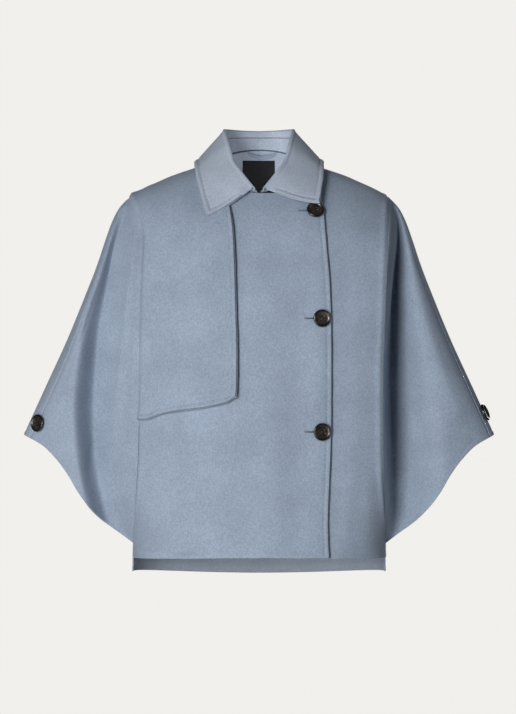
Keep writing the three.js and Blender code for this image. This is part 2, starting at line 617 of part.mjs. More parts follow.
// Right front, with the lap that buttons over. One of its columns is the storm flap's free edge
const SIDE_SPREAD = 1.35;
const leftSeam = (z) => -seamOut('front', -1, z);
const rightSeam = (z) => seamOut('front', 1, z);
const flapEdge = (z) => -read(FLAP_EDGE, 'up', 'out', z);
const buttoningEdge = (z) => read(FRONT_EDGE, 'up', 'out', z);
const buttoningTop = buttoningEdge(FRONT_EDGE_TOP);
const fromSide = (t) => t ** SIDE_SPREAD;
const evenly = (t) => t;
function frontTop(x) {
  if (Math.abs(x) > SHOULDER_END) return ARMHOLE_TOP;
  if (x <= 0) return upperEdge('front', x);
  return lerp(NECK_FRONT_UP, FRONT_EDGE_TOP, Math.min(x / buttoningTop, 1) ** 4);
}
const flapBand = band('front', [
  ...shoulderColumns(leftSeam(ARMHOLE_TOP), -FLAP_TOP_OUT, FRONT_ACROSS.flap),
  -FLAP_TOP_OUT,
], leftSeam, flapEdge, frontTop, FRONT_HEM, fromSide);
const lapBand = band('front', [
  -FLAP_TOP_OUT,
  ...neckColumns(-NECK_HALF, 0, FRONT_ACROSS.neck),
  ...shoulderColumns(0, buttoningTop, FRONT_ACROSS.lap),
  buttoningTop,
], flapEdge, buttoningEdge, frontTop, FRONT_HEM, evenly);
function rightFrontFacing(column, row, place) {
  if (row === 0 && column <= FRONT_ACROSS.shoulder) return shoulderFacing(place.x);
  return column === 0 ? seamFacing('front', -1, place.z) : null;
}
add('front_right', wall(bodyPanel(flapBand, lapBand), { facing: rightFrontFacing }), wool);

// Storm flap: the right front's own points, moved out, down to its lower edge. It lies closer where
// it is sewn in, at the shoulder and the armhole
const LAP_EASE = 25;
function flapLift(place) {
  const below = swing(clamp((shoulderUp('front', place.x) - place.z) / LAP_EASE, 0, 1));
  const inwards = swing(clamp((place.x - leftSeam(place.z)) / LAP_EASE, 0, 1));
  return CLOTH + lerp(SEWN_LAP_GAP, LAP_GAP, Math.min(below, inwards));
}
const flapPanel = { ...bodyPanel(flapBand), down: FLAP_ROWS };
add('storm_flap', wall(flapPanel, { lift: flapLift, facing: rightFrontFacing }), wool);

// Left front, which passes under the right front's lap and comes up to the side seam
const LAP_FROM = 118;
function underDepth(place) {
  const seam = seamOut('front', 1, place.z);
  const aside = clamp((seam - place.x) / (seam - LAP_FROM), 0, 1);
  const lower = clamp((shoulderUp('front', place.x) - place.z) / LAP_EASE, 0, 1);
  return -LAYER * aside * swing(lower);
}
function underTop(x) {
  if (x > SHOULDER_END) return ARMHOLE_TOP;
  return upperEdge('front', x);
}
const underPanel = bodyPanel(band('front', [
  ...neckColumns(HIDDEN_EDGE, NECK_HALF, UNDER_ACROSS.neck),
  ...shoulderColumns(NECK_HALF, rightSeam(ARMHOLE_TOP), UNDER_ACROSS.shoulder),
  rightSeam(ARMHOLE_TOP),
], () => HIDDEN_EDGE, rightSeam, underTop, FRONT_HEM, (t) => 1 - fromSide(1 - t)));
add('front_left', wall(underPanel, {
  lift: underDepth,
  facing: (column, row, place) => {
    if (row === 0 && column >= UNDER_ACROSS.neck) return shoulderFacing(place.x);
    return column === underPanel.across ? seamFacing('front', 1, place.z) : null;
  },
}), wool);

// Back, in two halves with a centre seam
const backSeam = (z) => -seamOut('back', 1, z);
const backTop = (x) => (Math.abs(x) > SHOULDER_END ? ARMHOLE_TOP : upperEdge('back', x));
const halfBack = band('back', [
  ...shoulderColumns(backSeam(ARMHOLE_TOP), -NECK_HALF, BACK_ACROSS.shoulder),
  ...neckColumns(-NECK_HALF, -SEAM_GAP / 2, BACK_ACROSS.neck),
  -SEAM_GAP / 2,
], backSeam, () => -SEAM_GAP / 2, backTop, BACK_HEM, fromSide);
for (const side of [-1, 1]) {
  const half = bodyPanel(halfBack);
  half.point = (column, row) => {
    const place = halfBack[column](row);
    return place.setX(-side * place.x);
  };
  add(side < 0 ? 'back_right' : 'back_left', wall(half, {
    outward: side,
    facing: (column, row, place, normal) => {
      if (row === 0 && column <= BACK_ACROSS.shoulder) return shoulderFacing(place.x);
      if (column === half.across) return normal.clone().setX(0).normalize();
      return column === 0 ? seamFacing('back', side, place.z) : null;
    },
  }), wool);
}

// Sleeves, each a front and a back gore that meet on the lapped overarm seam
const OVERARM_FACING = 0.4;
for (const side of [-1, 1]) {
  const name = wingKey(-side);
  const topFacing = vector(side * OVERARM_FACING, 0, Math.sqrt(1 - OVERARM_FACING ** 2));
  for (const [face, gore] of [['front', sleeveFront(side)], ['back', sleeveBack(side)]]) {
    add(`sleeve_${face}_${name}`, wall(gore, {
      outward: face === 'front' ? side : -side,
      facing: (column, row) => {
        if (row === 0) return topFacing;
        if (column === gore.across) return lapFacing(side, rowShare(row));
        const seamUp = lerp(ARMHOLE_TOP, ARMHOLE_BOTTOM, rowShare(row));
        return column === 0 ? seamFacing(face, side, seamUp) : null;
      },
    }), wool);
  }
}

// Collar stand, seen from inside the neck, and the fall that rolls over it
add('collar_stand', wall(collarStand(), {
  facing: (column) => collarSection(alongStand(column)).facing,
}), wool);
add('collar_fall', wall(collarFall(), {
  outward: -1,
  facing: (column, row) => (row === 0 ? collarSection(alongFall(column)).facing : null),
}), wool);

// Label and hanger loop, on the inside of the back
const labelPanel = {
  across: LABEL.across,
  down: LABEL.down,
  point: (column, row) => {
    const x = lerp(LABEL.from, LABEL.to, column / LABEL.across);
    return bodyPoint('back', x, lerp(LABEL.top, LABEL.bottom, row / LABEL.down));
  },
};
add('label', wall(labelPanel, {
  lift: -(CLOTH + LABEL.clear), thick: LABEL_CLOTH, outward: -1,
}), satin);
const loopPanel = {
  across: LOOP.across,
  down: 1,
  point: (column, row) => {
    const t = column / LOOP.across;
    const up = LOOP.up - LOOP.sag * Math.sin(Math.PI * t) - LOOP.wide * row;
    return bodyPoint('back', lerp(LOOP.from, LOOP.to, t), up);
  },
};
add('hanger_loop', wall(loopPanel, {
  lift: -(CLOTH + LOOP.clear), thick: LOOP_CLOTH, outward: -1,
}), wool);

// Buttons
function buttonGeometry() {
  const b = BUTTON;
  const back = b.clear + b.stemTall;
  const face = back + b.thick;
  const profile = [
    [0, b.clear], [b.stem, b.clear], [b.stem, back], [b.radius - b.edge, back],
    [b.radius, back + b.edge], [b.radius, face - b.edge], [b.radius - b.edge, face],
    [b.radius - b.rim, face], [b.radius - b.rim - b.edge, face - b.dish],
    [0, face - b.dish - b.hollow],
  ];
  return new THREE.LatheGeometry(profile.map(([r, h]) => new THREE.Vector2(r, h)), BUTTON_SIDES);
}
function addButton(name, place, normal) {
  const mesh = add(name, buttonGeometry(), horn);
  mesh.position.copy(place);
  mesh.quaternion.setFromUnitVectors(vector(0, 1, 0), normal);
}

const PER_STEP = 100;
const QUARTER_TURN = 90;
for (const { name, out, up } of FRONT_BUTTONS) {
  const surface = (a, b) => bodyPoint('front', a * PER_STEP, b * PER_STEP);
  const normal = facingOf(surface, out / PER_STEP, up / PER_STEP, 1);
  addButton(name, bodyPoint('front', out, up), normal);
}
for (const { name, side, down, round } of SLEEVE_BUTTONS) {
  const surface = (a, b) => sleevePoint('front', side, b, 'over', a);
  const normal = facingOf(surface, round / QUARTER_TURN, down, -side);
  const place = surface(round / QUARTER_TURN, down);
  addButton(name, place.addScaledVector(normal, SLEEVE_BUTTON_LIFT), normal);
}

export default coat;
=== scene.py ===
# %% [markdown]
# # A double-faced wool cape coat
#
# The coat is shown as on a hidden wearer: it is filled out, hollow, and open at the neck, hem and cuffs.
# Its cloth is one thick felted wool, with no lining, so every panel is a wall of cloth a little over
# 2 mm thick that is seen from both sides. Fabric like this can be simulated, or its drape can be worked
# out from a few sections. Here the sections are the better way, because the folds have to lie where
# the real coat has them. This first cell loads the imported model, which is the fixed frame.

import bpy
import numpy as np
from mathutils import Matrix


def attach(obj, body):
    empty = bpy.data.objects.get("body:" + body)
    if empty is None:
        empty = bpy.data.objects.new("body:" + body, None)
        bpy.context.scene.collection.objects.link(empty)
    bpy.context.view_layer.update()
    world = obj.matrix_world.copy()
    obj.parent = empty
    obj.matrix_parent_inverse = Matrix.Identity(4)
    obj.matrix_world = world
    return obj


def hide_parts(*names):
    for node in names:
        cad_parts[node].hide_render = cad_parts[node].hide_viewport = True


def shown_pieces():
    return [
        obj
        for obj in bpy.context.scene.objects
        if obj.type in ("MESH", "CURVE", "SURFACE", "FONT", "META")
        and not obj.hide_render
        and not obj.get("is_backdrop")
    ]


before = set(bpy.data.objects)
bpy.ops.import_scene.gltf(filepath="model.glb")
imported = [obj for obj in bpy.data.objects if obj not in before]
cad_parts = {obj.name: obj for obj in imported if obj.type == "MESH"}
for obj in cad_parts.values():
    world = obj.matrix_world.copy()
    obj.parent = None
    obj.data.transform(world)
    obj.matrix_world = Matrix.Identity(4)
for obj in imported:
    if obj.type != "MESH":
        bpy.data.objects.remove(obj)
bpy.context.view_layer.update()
MM = 0.001

# %% [markdown]
# ## Camera
#
# The photograph looks straight at the front from far away, as product pictures do, so the coat's
# depth hardly changes its outline. A long lens 6 m away gives the same: the picture's height
# then covers 1142 mm of the plane through the shoulders.

# %% Camera
CAMERA_DISTANCE = 6.0
CAMERA_X = -0.0016
CAMERA_Z = -0.2832
PICTURE_HEIGHT = 1.1424
SENSOR_MM = 36

camera_data = bpy.data.cameras.new("camera")
camera_data.sensor_fit = "VERTICAL"
camera_data.sensor_height = SENSOR_MM
camera_data.sensor_width = SENSOR_MM
camera_data.lens = SENSOR_MM * CAMERA_DISTANCE / PICTURE_HEIGHT
camera = bpy.data.objects.new("camera", camera_data)
camera.location = (CAMERA_X, -CAMERA_DISTANCE, CAMERA_Z)
camera.rotation_euler = (np.pi / 2, 0, 0)
bpy.context.scene.collection.objects.link(camera)
bpy.context.scene.camera = camera
print("lens in mm:", round(camera_data.lens, 1))

# %% [markdown]
# ## Three small helpers for materials
#
# Colours are written as sRGB hex values, the way a paint chart gives them, and Blender wants linear
# light, so one function turns them. Another adds a shader node, sets it and links it in one go, and
# the third starts a material with the coordinates that every pattern here is laid on.

# %% Colour and node helpers
def linear(hex_colour):
    """An sRGB hex colour as linear light: each channel c becomes ((c + 0.055) / 1.055) to the power
    2.4, or c / 12.92 where it is very dark."""
    channels = np.array([int(hex_colour[i:i + 2], 16) for i in (1, 3, 5)]) / 255
    light = np.where(channels <= 0.04045, channels / 12.92, ((channels + 0.055) / 1.055) ** 2.4)
    return (*light, 1.0)


def node(tree, kind, sockets=None, **settings):
    """Adds a node, sets its properties, then fills its sockets with values or with links."""
    made = tree.nodes.new("ShaderNode" + kind)
    for name, value in settings.items():
        setattr(made, name, value)
    for name, value in (sockets or {}).items():
        if isinstance(value, bpy.types.NodeSocket):
            tree.links.new(value, made.inputs[name])
        else:
            made.inputs[name].default_value = value
    return made


def new_material(name):
    """An empty material, its node tree, and the Object coordinates that its patterns read."""
    made = bpy.data.materials.new(name)
    made.use_nodes = True
    made.node_tree.nodes.clear()
    return made, made.node_tree, node(made.node_tree, "TexCoord").outputs["Object"]


print("mid grey in linear light:", np.round(linear("#808080"), 3))

# %% [markdown]
# ## Stage and light
#
# The backdrop is plain and pale with no visible horizon. The world gives that colour to the camera
# and a much weaker, even light to the cloth. The key lamp stands in front, a little to the left and
# hardly higher than the coat, so the deep fold beside the body on the right falls into its shadow. A
# wide weak lamp on each side opens the folds, and a low one reaches under the front hem. One stands
# behind the coat, for its back. The smallest is hidden inside the collar, where a pale shoulder would
# throw light back. An area lamp's light on a surface is its power over pi squared times the distance
# squared, which is how the powers were set against each other.

# %% Stage and light
BACKDROP = "#F1F0EC"
AMBIENT = 0.05
FLOOR_Z = -1.3
FLOOR_RADIUS = 1.1
FLOOR_SIDES = 64

world = bpy.data.worlds.new("studio")
bpy.context.scene.world = world
world.use_nodes = True
tree = world.node_tree
tree.nodes.clear()
path = node(tree, "LightPath")
even = node(tree, "Background", {"Color": linear("#EEF1F6"), "Strength": AMBIENT})
pale = node(tree, "Background", {"Color": linear(BACKDROP), "Strength": 1.0})
mixed = node(tree, "MixShader", {0: path.outputs["Is Camera Ray"], 1: even.outputs[0], 2: pale.outputs[0]})
node(tree, "OutputWorld", {"Surface": mixed.outputs[0]})
bpy.context.scene.view_settings.view_transform = "Standard"


def lamp(name, place, aim, size, power):
    """A square area lamp at one point that faces another. The camera doesn't see the lamp itself."""
    data = bpy.data.lights.new(name, "AREA")
    data.size = size
    data.energy = power
    made = bpy.data.objects.new(name, data)
    made.location = place
    away = np.array(place) - np.array(aim)
    flat = np.hypot(away[0], away[1])
    made.rotation_euler = (np.arctan2(flat, away[2]), 0, np.arctan2(away[1], away[0]) + np.pi / 2)
    made.visible_camera = False
    bpy.context.scene.collection.objects.link(made)


MIDDLE = (0, 0, -0.3)
lamp("key", (-1.75, -4.7, 0.4), MIDDLE, 1.4, 150)
lamp("left", (-2.5, -2.2, -0.2), MIDDLE, 2.6, 19)
lamp("side", (2.8, -1.0, 0.3), MIDDLE, 2.4, 12)
lamp("low", (-1.0, -2.8, -1.28), (0, 0, -0.6), 1.1, 30)
lamp("back", (1.2, 4.4, 0.5), MIDDLE, 2.4, 100)
lamp("neck", (0.0, -0.055, -0.05), (0, 0.07, 0.03), 0.08, 0.09)

turn = np.linspace(0, 2 * np.pi, FLOOR_SIDES, endpoint=False)
rim = np.stack([FLOOR_RADIUS * np.cos(turn), FLOOR_RADIUS * np.sin(turn), FLOOR_Z + 0 * turn], 1)
floor_mesh = bpy.data.meshes.new("floor")
floor_mesh.from_pydata(rim.tolist(), [], [list(range(FLOOR_SIDES))])
floor = bpy.data.objects.new("floor", floor_mesh)
bpy.context.scene.collection.objects.link(floor)
paper = bpy.data.materials.new("matt_backdrop_paper")
paper.use_nodes = True
matt = paper.node_tree.nodes["Principled BSDF"].inputs
matt["Base Color"].default_value, matt["Roughness"].default_value = linear(BACKDROP), 0.9
floor_mesh.materials.append(paper)
floor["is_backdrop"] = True

# %% [markdown]
# ## Wool
#
# The cloth is double-faced wool, two thin cloths woven as one, then felted and brushed, so the weave
# is buried under a short nap that lies downwards. The eye gets three things from it: a soft mottling
# where the nap lies a little this way or that, short pale and dark fibres, and a dull bloom at
# grazing angles. The nap is drawn as noise, a little longer than wide and 2.3 mm across, where the
# real one is finer: that is what the render needs to show it. Fibres of 0.9 mm lie over it for close
# views. The cloth's other face shows on the collar and inside the coat, and it is drawn paler: partly
# its own colour, partly painted light, set paler to brighten those shaded places.

# %% Wool material
NAP_MM = 2.3
FIBRE_MM = 0.9
CLOUD_MM = 55
NAP_STRETCH = 0.8


def brushed_wool(name, dark, middle, light, bloom):
    """Noise on Object coordinates, squeezed along Z, mixes three wool colours, and bumps the nap."""
    made, tree, place = new_material(name)
    brushed = node(tree, "Mapping", {"Vector": place, "Scale": (1, 1, NAP_STRETCH)}).outputs[0]
    nap, fibre, cloud = (
        node(tree, "TexNoise", {"Vector": vector, "Scale": 1 / (size * MM), "Detail": detail,
                                "Distortion": twist}).outputs["Fac"]
        for vector, size, detail, twist in ((brushed, NAP_MM, 3, 0.6), (brushed, FIBRE_MM, 2, 0),
                                            (place, CLOUD_MM, 2, 0)))
    naps = node(tree, "ValToRGB", {"Fac": nap})
    for stop, position, colour in zip(naps.color_ramp.elements, (0.36, 0.64), (dark, light)):
        stop.position, stop.color = position, linear(colour)
    clouds = node(tree, "Mix", {"Factor": 0.6, "A": naps.outputs[0]}, data_type="RGBA")
    clouds.inputs["B"].default_value = linear(middle)
    shade = node(tree, "MapRange", {"Value": cloud, "From Min": 0.3, "From Max": 0.7,
                                    "To Min": 0.92, "To Max": 1.05})
    colour = node(tree, "VectorMath", {0: clouds.outputs["Result"]}, operation="SCALE")
    tree.links.new(shade.outputs[0], colour.inputs["Scale"])
    lay = node(tree, "Bump", {"Height": nap, "Strength": 0.22, "Distance": 0.8 * MM})
    hair = node(tree, "Bump", {"Height": fibre, "Strength": 0.42, "Distance": 0.35 * MM,
                               "Normal": lay.outputs[0]})
    shader = node(tree, "BsdfPrincipled", {
        "Base Color": colour.outputs[0], "Normal": hair.outputs[0], "Roughness": 0.93, "IOR": 1.54,
        "Specular IOR Level": 0.25, "Sheen Weight": bloom, "Sheen Roughness": 0.45,
        "Sheen Tint": linear("#E4EAF2"),
    })
    node(tree, "OutputMaterial", {"Surface": shader.outputs[0]})
    return made


WOOL = brushed_wool("brushed_double_faced_wool", "#798799", "#8E9BAD", "#A4B1C1", 0.16)
# The inner face is partly the cloth's own other colour and partly painted light: it is made paler to
# brighten the shaded inside of the coat and the collar.
INNER_WOOL_PARTLY_PAINTED_LIGHT = brushed_wool("paler_inner_face_wool_partly_painted_light", "#939EAD", "#A7B1C0", "#B8C2D0", 0.16)
THREAD = brushed_wool("twisted_wool_thread", "#75838F", "#818F9E", "#8D9BAB", 0.08)
print("materials:", WOOL.name, INNER_WOOL_PARTLY_PAINTED_LIGHT.name, THREAD.name)

# %% [markdown]
# ## Reading a table of sizes
#
# A tailor takes a few measures at named heights, and the cloth runs smoothly between them. A table
# here has named columns and a row for each section, in millimetres. The curve through its rows is a
# cubic whose slope at each row is the harmonic mean of the slopes beside it, so it never overshoots.

# %% Tables
def table(names, *rows):
    """Columns of numbers under their names."""
    return dict(zip(names.split(), np.array(rows, float).T))


def lerp(a, b, t):
    """The value at share t of the way from a to b."""
    return a + (b - a) * t


def read(rows, place, column, at):
    """A column of a table at any place: between two rows an eased blend of their values, bent so that
    it leaves and meets them at their slopes. A slope is the harmonic mean of its neighbours', or 0 where
    they differ in sign."""
    x, y = rows[place], rows[column]
    slope = np.diff(y) / np.diff(x)
    same = slope[:-1] * slope[1:] > 0
    total = np.where(same, slope[:-1] + slope[1:], 1)
    lean = np.concatenate([slope[:1], np.where(same, 2 * slope[:-1] * slope[1:] / total, 0), slope[-1:]])
    at = np.clip(at, x[0], x[-1])
    k = np.clip(np.searchsorted(x, at) - 1, 0, len(x) - 2)
    span = x[k + 1] - x[k]
    t = (at - x[k]) / span
    bend = t * (1 - t) ** 2 * span * lean[k] - t * t * (1 - t) * span * lean[k + 1]
    return lerp(y[k], y[k + 1], t * t * (3 - 2 * t)) + bend


TRIAL = table("at high", (0, 0), (1, 4), (2, 5))
print("between 0 and 4:", read(TRIAL, "at", "high", np.array([0.25, 0.5, 0.75])).round(2))

# %% [markdown]
# ## The figure that fills the coat
#
# These sizes repeat those of the solids, in millimetres. The shoulder seams lie in one upright plane
# 6 mm behind the origin. Depth is measured from it, at the middle of the body and at the armhole and
# side seams, and the cloth falls from one to the other in a rounded curve. lean is how far the cloth's
# edge turns to the side along a seam, and square how squarely the panel turns into it. In the tables
# left and right are as seen from the front, and out is measured from the middle.

# %% Figure sizes
CLOTH = 2.2
SEAM_GAP = 0.45
NECK_GAP = 1.1
STAND_GAP = 0.8
OVERARM_GAP = 0.4
SEWN_LAP_GAP = 0.5
LAP_GAP = 1.6
LAYER = CLOTH + LAP_GAP
SHOULDER_PLANE = 6
SHOULDER_ROUND = 120
BODY_ROUND = 2.4
NECK_HALF = 68
NECK_CURVE = 2.1
NECK_SIDE_UP = 36
NECK_UP = {"front": -24, "back": 51}
ARMHOLE_TOP = -28
ARMHOLE_BOTTOM = -581
SHOULDER_END = 205.9
HEM_HALF = 203
FRONT_HEM = (-598, -603)
BACK_HEM = (-636, -626)

SHOULDER_LINE = table(
    "out front back", (0, 45, 80), (40, 42, 68), (56, 39.5, 50), (68, 36, 36), (84, 26.5, 26.5),
    (102, 19.5, 19.5), (125, 11.8, 11.8), (142, 5.6, 5.6), (156, -0.6, -0.6), (184, -13.2, -13.2),
    (195, -19.2, -19.2), (206, -28, -28), (225, -50, -50))
UNDER_FLAP = {"drop": 2.4, "from": 76, "to": 206, "ease": 24}
BODY_DEPTH = table(
    "up front back", (-660, 142, 134), (-540, 144, 127), (-440, 146, 121), (-320, 146, 117),
    (-200, 141, 116), (-150, 133, 113), (-100, 122, 108), (-60, 108, 101), (-24, 95, 94), (0, 91, 92),
    (60, 78, 96))
SIDE_SEAM = table(
    "up left right back_side ahead_left ahead_right behind lean square",
    (-660, 203, 204, 203.5, 0.25, 0.25, 0.25, 1, 2.3),
    (-592, 201.5, 203.5, 202.5, 0.25, 0.25, 0.25, 1, 2.3),
    (-581, 201, 203, 202, 5, 5, 5, 0.75, 2.2), (-560, 199, 201, 199, 30, 34, 26, 0.66, 1.9),
    (-520, 196, 198, 194, 64, 76, 52, 0.5, 1.5), (-440, 190.5, 195.5, 189, 90, 104, 73, 0.4, 1.15),
    (-320, 187.5, 195, 187, 93, 110, 75, 0.4, 1.1), (-230, 186.5, 198, 187, 92, 110, 72, 0.4, 1.1),
    (-156, 184.5, 200.5, 188, 88, 104, 68, 0.4, 1.1), (-98, 182.5, 203.5, 190, 84, 94, 64, 0.4, 1.1),
    (-72, 186, 205, 194, 82, 87, 62, 0.4, 1.1), (-54, 194, 206, 199, 80, 83, 60, 0.4, 1.1),
    (-28, 206, 208, 207, 80, 80, 60, 0.4, 1.1))
print("rows of the side seam:", len(SIDE_SEAM["up"]))

# %% Figure formulas
def swing(t):
    """Half a cosine wave from 0 to 1, level at both ends and beyond them."""
    return (1 - np.cos(np.pi * np.clip(t, 0, 1))) / 2


def shoulder_up(face, x):
    """Height of the shoulder seam. Under the storm flap it lies a little lower, eased in and out."""
    x = np.asarray(x, float)
    u = UNDER_FLAP
    under = swing((-x - u["from"]) / u["ease"]) * swing((u["to"] + x) / u["ease"])
    return read(SHOULDER_LINE, "out", face, np.abs(x)) - u["drop"] * under


def seam_out(face, x, z):
    """How far out the armhole or side seam lies, on the side that x is on."""
    if face == "back":
        return read(SIDE_SEAM, "up", "back_side", z)
    return np.where(np.asarray(x) < 0, read(SIDE_SEAM, "up", "left", z), read(SIDE_SEAM, "up", "right", z))


def turned(face, x, z):
    """How far the cloth has turned from lying on the shoulder, 0, to hanging upright, 1."""
    return np.clip((shoulder_up(face, x) - z) / SHOULDER_ROUND, 0, 1)


def body_point(face, x, z):
    """A point of the body's front or back. Its depth is the seam's plus the rest times a rounded curve
    of its share of the way out, and over the shoulder that depth falls off as a quarter circle."""
    x, z = np.broadcast_arrays(np.asarray(x, float), np.asarray(z, float))
    share = np.minimum(np.abs(x) / seam_out(face, x, z), 1)
    full = (1 - share ** BODY_ROUND) ** (1 / read(SIDE_SEAM, "up", "square", z))
    left, right, behind = (read(SIDE_SEAM, "up", n, z) for n in ("ahead_left", "ahead_right", "behind"))
    at_seam = np.where(x < 0, left, right) if face == "front" else behind
    depth = lerp(at_seam, read(BODY_DEPTH, "up", face, z), full)
    depth = depth * np.sqrt(1 - (1 - turned(face, x, z)) ** 2)
    way = -1 if face == "front" else 1
    return np.stack([x, SHOULDER_PLANE + way * np.maximum(depth, SEAM_GAP / 2), z], -1)


print("depth at the chest in mm:", body_point("front", 0.0, -150.0).round(1))

# %% Seams and edges of the figure
def seam_facing(face, side, z):
    """Which way the cloth's edge faces along an armhole or side seam, alike for both its pieces."""
    up = 1 - turned(face, side * seam_out(face, side, z), z)
    flat = np.sqrt(1 - up * up)
    lean = read(SIDE_SEAM, "up", "lean", z)
    ahead = np.sqrt(1 - lean * lean) * (-1 if face == "front" else 1)
    return np.stack([side * flat * lean, flat * ahead, up], -1)


def shoulder_facing(x):
    """Which way it faces along the shoulder seam: square to the seam's slope."""
    step = 2
    slope = (shoulder_up("front", x + step) - shoulder_up("front", x - step)) / (2 * step)
    return unit(np.stack([-slope, 0 * x, 1 + 0 * x], -1))


def upper_edge(face, x):
    """A panel's upper edge: the neck seam, a curve of power 2.1, then the shoulder seam."""
    neck = lerp(NECK_UP[face], NECK_SIDE_UP, np.minimum(np.abs(x) / NECK_HALF, 1) ** NECK_CURVE)
    on_body = np.where(np.abs(x) < NECK_HALF, neck, shoulder_up(face, x))
    return np.where(np.abs(x) > SHOULDER_END, ARMHOLE_TOP, on_body)


def hem_up(hem, x):
    """Height of a hem: a parabola from its middle to its side."""
    return lerp(hem[0], hem[1], np.minimum(np.abs(x) / HEM_HALF, 1) ** 2)


print("neck seam from centre to side in mm:", upper_edge("front", np.array([0, 30, 60])).round(1))

# %% [markdown]
# ## From a grid of points to a wall of cloth
#
# Each panel is a grid seen from outside, with columns to the right and rows downwards. The wall's
# inner face is the same grid moved in by the cloth's thickness, and its edges are closed with a half
# round, because felted wool has a soft turned edge and never a sharp one. Blender's Solidify would
# do the first part, but here the direction has to be set along the seams, so that two panels meet
# there without crossing.

# %% Directions, spacing and mesh objects
SEWN_ROUND = 0.15


def unit(vectors):
    """Vectors at length 1."""
    return vectors / np.maximum(np.linalg.norm(vectors, axis=-1, keepdims=True), 1e-9)


def facing_of(grid):
    """The outward direction at each point: the step down crossed with the step to the right."""
    return unit(np.cross(np.gradient(grid, axis=0), np.gradient(grid, axis=1)))


def to_object(name, points, faces, *materials):
    """A smooth mesh object from points in millimetres and faces of any size."""
    mesh = bpy.data.meshes.new(name)
    mesh.from_pydata((points * MM).tolist(), [], faces)
    mesh.validate()
    mesh.polygons.foreach_set("use_smooth", np.ones(len(mesh.polygons), bool))
    for material in materials:
        mesh.materials.append(material)
    made = bpy.data.objects.new(name, mesh)
    bpy.context.scene.collection.objects.link(made)
    return made


def edge_way(grid, sewn):
    """For each point of the grid's border, the direction in the cloth that leads off it, at length 1
    on a free side and SEWN_ROUND on a sewn one."""
    right, below = unit(np.gradient(grid, axis=1)), unit(np.gradient(grid, axis=0))
    way = np.zeros_like(grid)
    round_by = np.ones(grid.shape[:2])
    sides = {"left": (np.s_[:, 0], -right), "right": (np.s_[:, -1], right),
             "top": (0, -below), "bottom": (-1, below)}
    for side, (border, off) in sides.items():
        way[border] += off[border]
        if side in sewn:
            round_by[border] = SEWN_ROUND
    return unit(way) * round_by[..., None]


def steps(length, cell, start=(), end=()):
    """Shares from 0 to 1 over a length, at the given distances from its start and its end and about a
    cell apart between them."""
    first = max(start, default=0)
    last = length - max(end, default=0)
    count = max(2, int(round((last - first) / cell)) + 1)
    places = [np.linspace(first, last, count), np.array(start), length - np.array(end), [0, length]]
    return np.unique(np.concatenate(places).round(3)) / length


print("even steps of 3 mm, closer at the start:", steps(12, 3, (1,)).round(2))

# %% Cloth wall
EDGE_STEPS = 4
SET_BACK = 0.8


def wall(name, grid, sewn="", thick=CLOTH, outward=1, facing=None, material=WOOL, inner=INNER_WOOL_PARTLY_PAINTED_LIGHT):
    """A closed wall: the grid, the same grid moved in against its facing, and a half round of
    EDGE_STEPS strips round the border. Where facing holds numbers they take the place of the normal.
    sewn names the sides that meet another panel, which stay nearly square. The inner grid's faces have
    the material inner, by default the cloth's paler other face, whose paleness is partly painted light.
    thick is one number, or one for each point."""
    down, across = grid.shape[:2]
    way = facing_of(grid) * outward
    if facing is not None:
        way = np.where(np.isnan(facing), way, facing)
    off = edge_way(grid, sewn.split())
    thick = np.broadcast_to(thick, (down, across))
    outer = grid.copy()
    lower = grid - way * thick[..., None]
    place = np.arange(down * across).reshape(down, across)
    ring = np.concatenate([place[:-1, 0], place[-1, :-1], place[:0:-1, -1], place[0, :0:-1]])
    half = thick.reshape(-1, 1)[ring] / 2
    for side in (outer, lower):
        side.reshape(-1, 3)[ring] -= off.reshape(-1, 3)[ring] * half * SET_BACK
    o, i = outer.reshape(-1, 3)[ring], lower.reshape(-1, 3)[ring]
    middle, spoke, away = (o + i) / 2, (o - i) / 2, off.reshape(-1, 3)[ring] * half
    angles = np.pi * np.arange(1, EDGE_STEPS) / EDGE_STEPS
    rounds = [middle + spoke * np.cos(a) + away * np.sin(a) for a in angles]
    count = down * across
    a, b, c, d = place[:-1, :-1], place[:-1, 1:], place[1:, 1:], place[1:, :-1]
    quads = np.stack([a, d, c, b], -1).reshape(-1, 4)
    loops = [ring] + [2 * count + k * len(ring) + np.arange(len(ring)) for k in range(EDGE_STEPS - 1)]
    loops.append(ring + count)
    strips = [np.stack([np.roll(p, -1), p, q, np.roll(q, -1)], -1) for p, q in zip(loops, loops[1:])]
    faces = np.concatenate([quads, quads[:, ::-1] + count, *strips])
    if outward < 0:
        faces = faces[:, ::-1]
    points = np.concatenate([outer.reshape(-1, 3), lower.reshape(-1, 3), *rounds])
    made = to_object(name, points, faces.tolist(), material, inner)
    of_inner = np.zeros(len(faces), np.int32)
    of_inner[len(quads):2 * len(quads)] = 1
    made.data.polygons.foreach_set("material_index", of_inner)
    return made


print("an edge is rounded in", EDGE_STEPS, "strips")

# %% [markdown]
# ## Soft creases
#
# Thick wool doesn't crumple: it bends in long shallow rolls. Each is a row of a table: where it
# lies on the coat, how long and wide it is, how high (or deep, below 0) and how far it leans. They are
# placed where the photograph shows them, all different, and similar ones lie on the back.

# %% Crease helpers
STITCH_IN = 8.5
TURNING = 9


def crease_table(*rows):
    """Creases by where they lie, out and up, their length, width and height, and their lean."""
    return table("out up long wide high lean", *rows)


def relief(creases, x, z):
    """Height of all creases at points of a panel. Each is a bell across its width, faded along its
    length by a flatter bell, and turned by its lean from the vertical, in degrees."""
    c = {name: values[:, None, None] for name, values in creases.items()}
    angle = np.radians(c["lean"])
    away, along = x - c["out"], z - c["up"]
    across = away * np.cos(angle) + along * np.sin(angle)
    length = along * np.cos(angle) - away * np.sin(angle)
    bells = np.exp(-(across / c["wide"]) ** 2) * np.exp(-(2 * length / c["long"]) ** 4)
    return (c["high"] * bells).sum(0)


def turned_in(distance, more):
    """Thickness of the cloth near a free edge, where it is turned in on itself: a flat bell added."""
    return CLOTH + more * np.exp(-(distance / TURNING) ** 4)


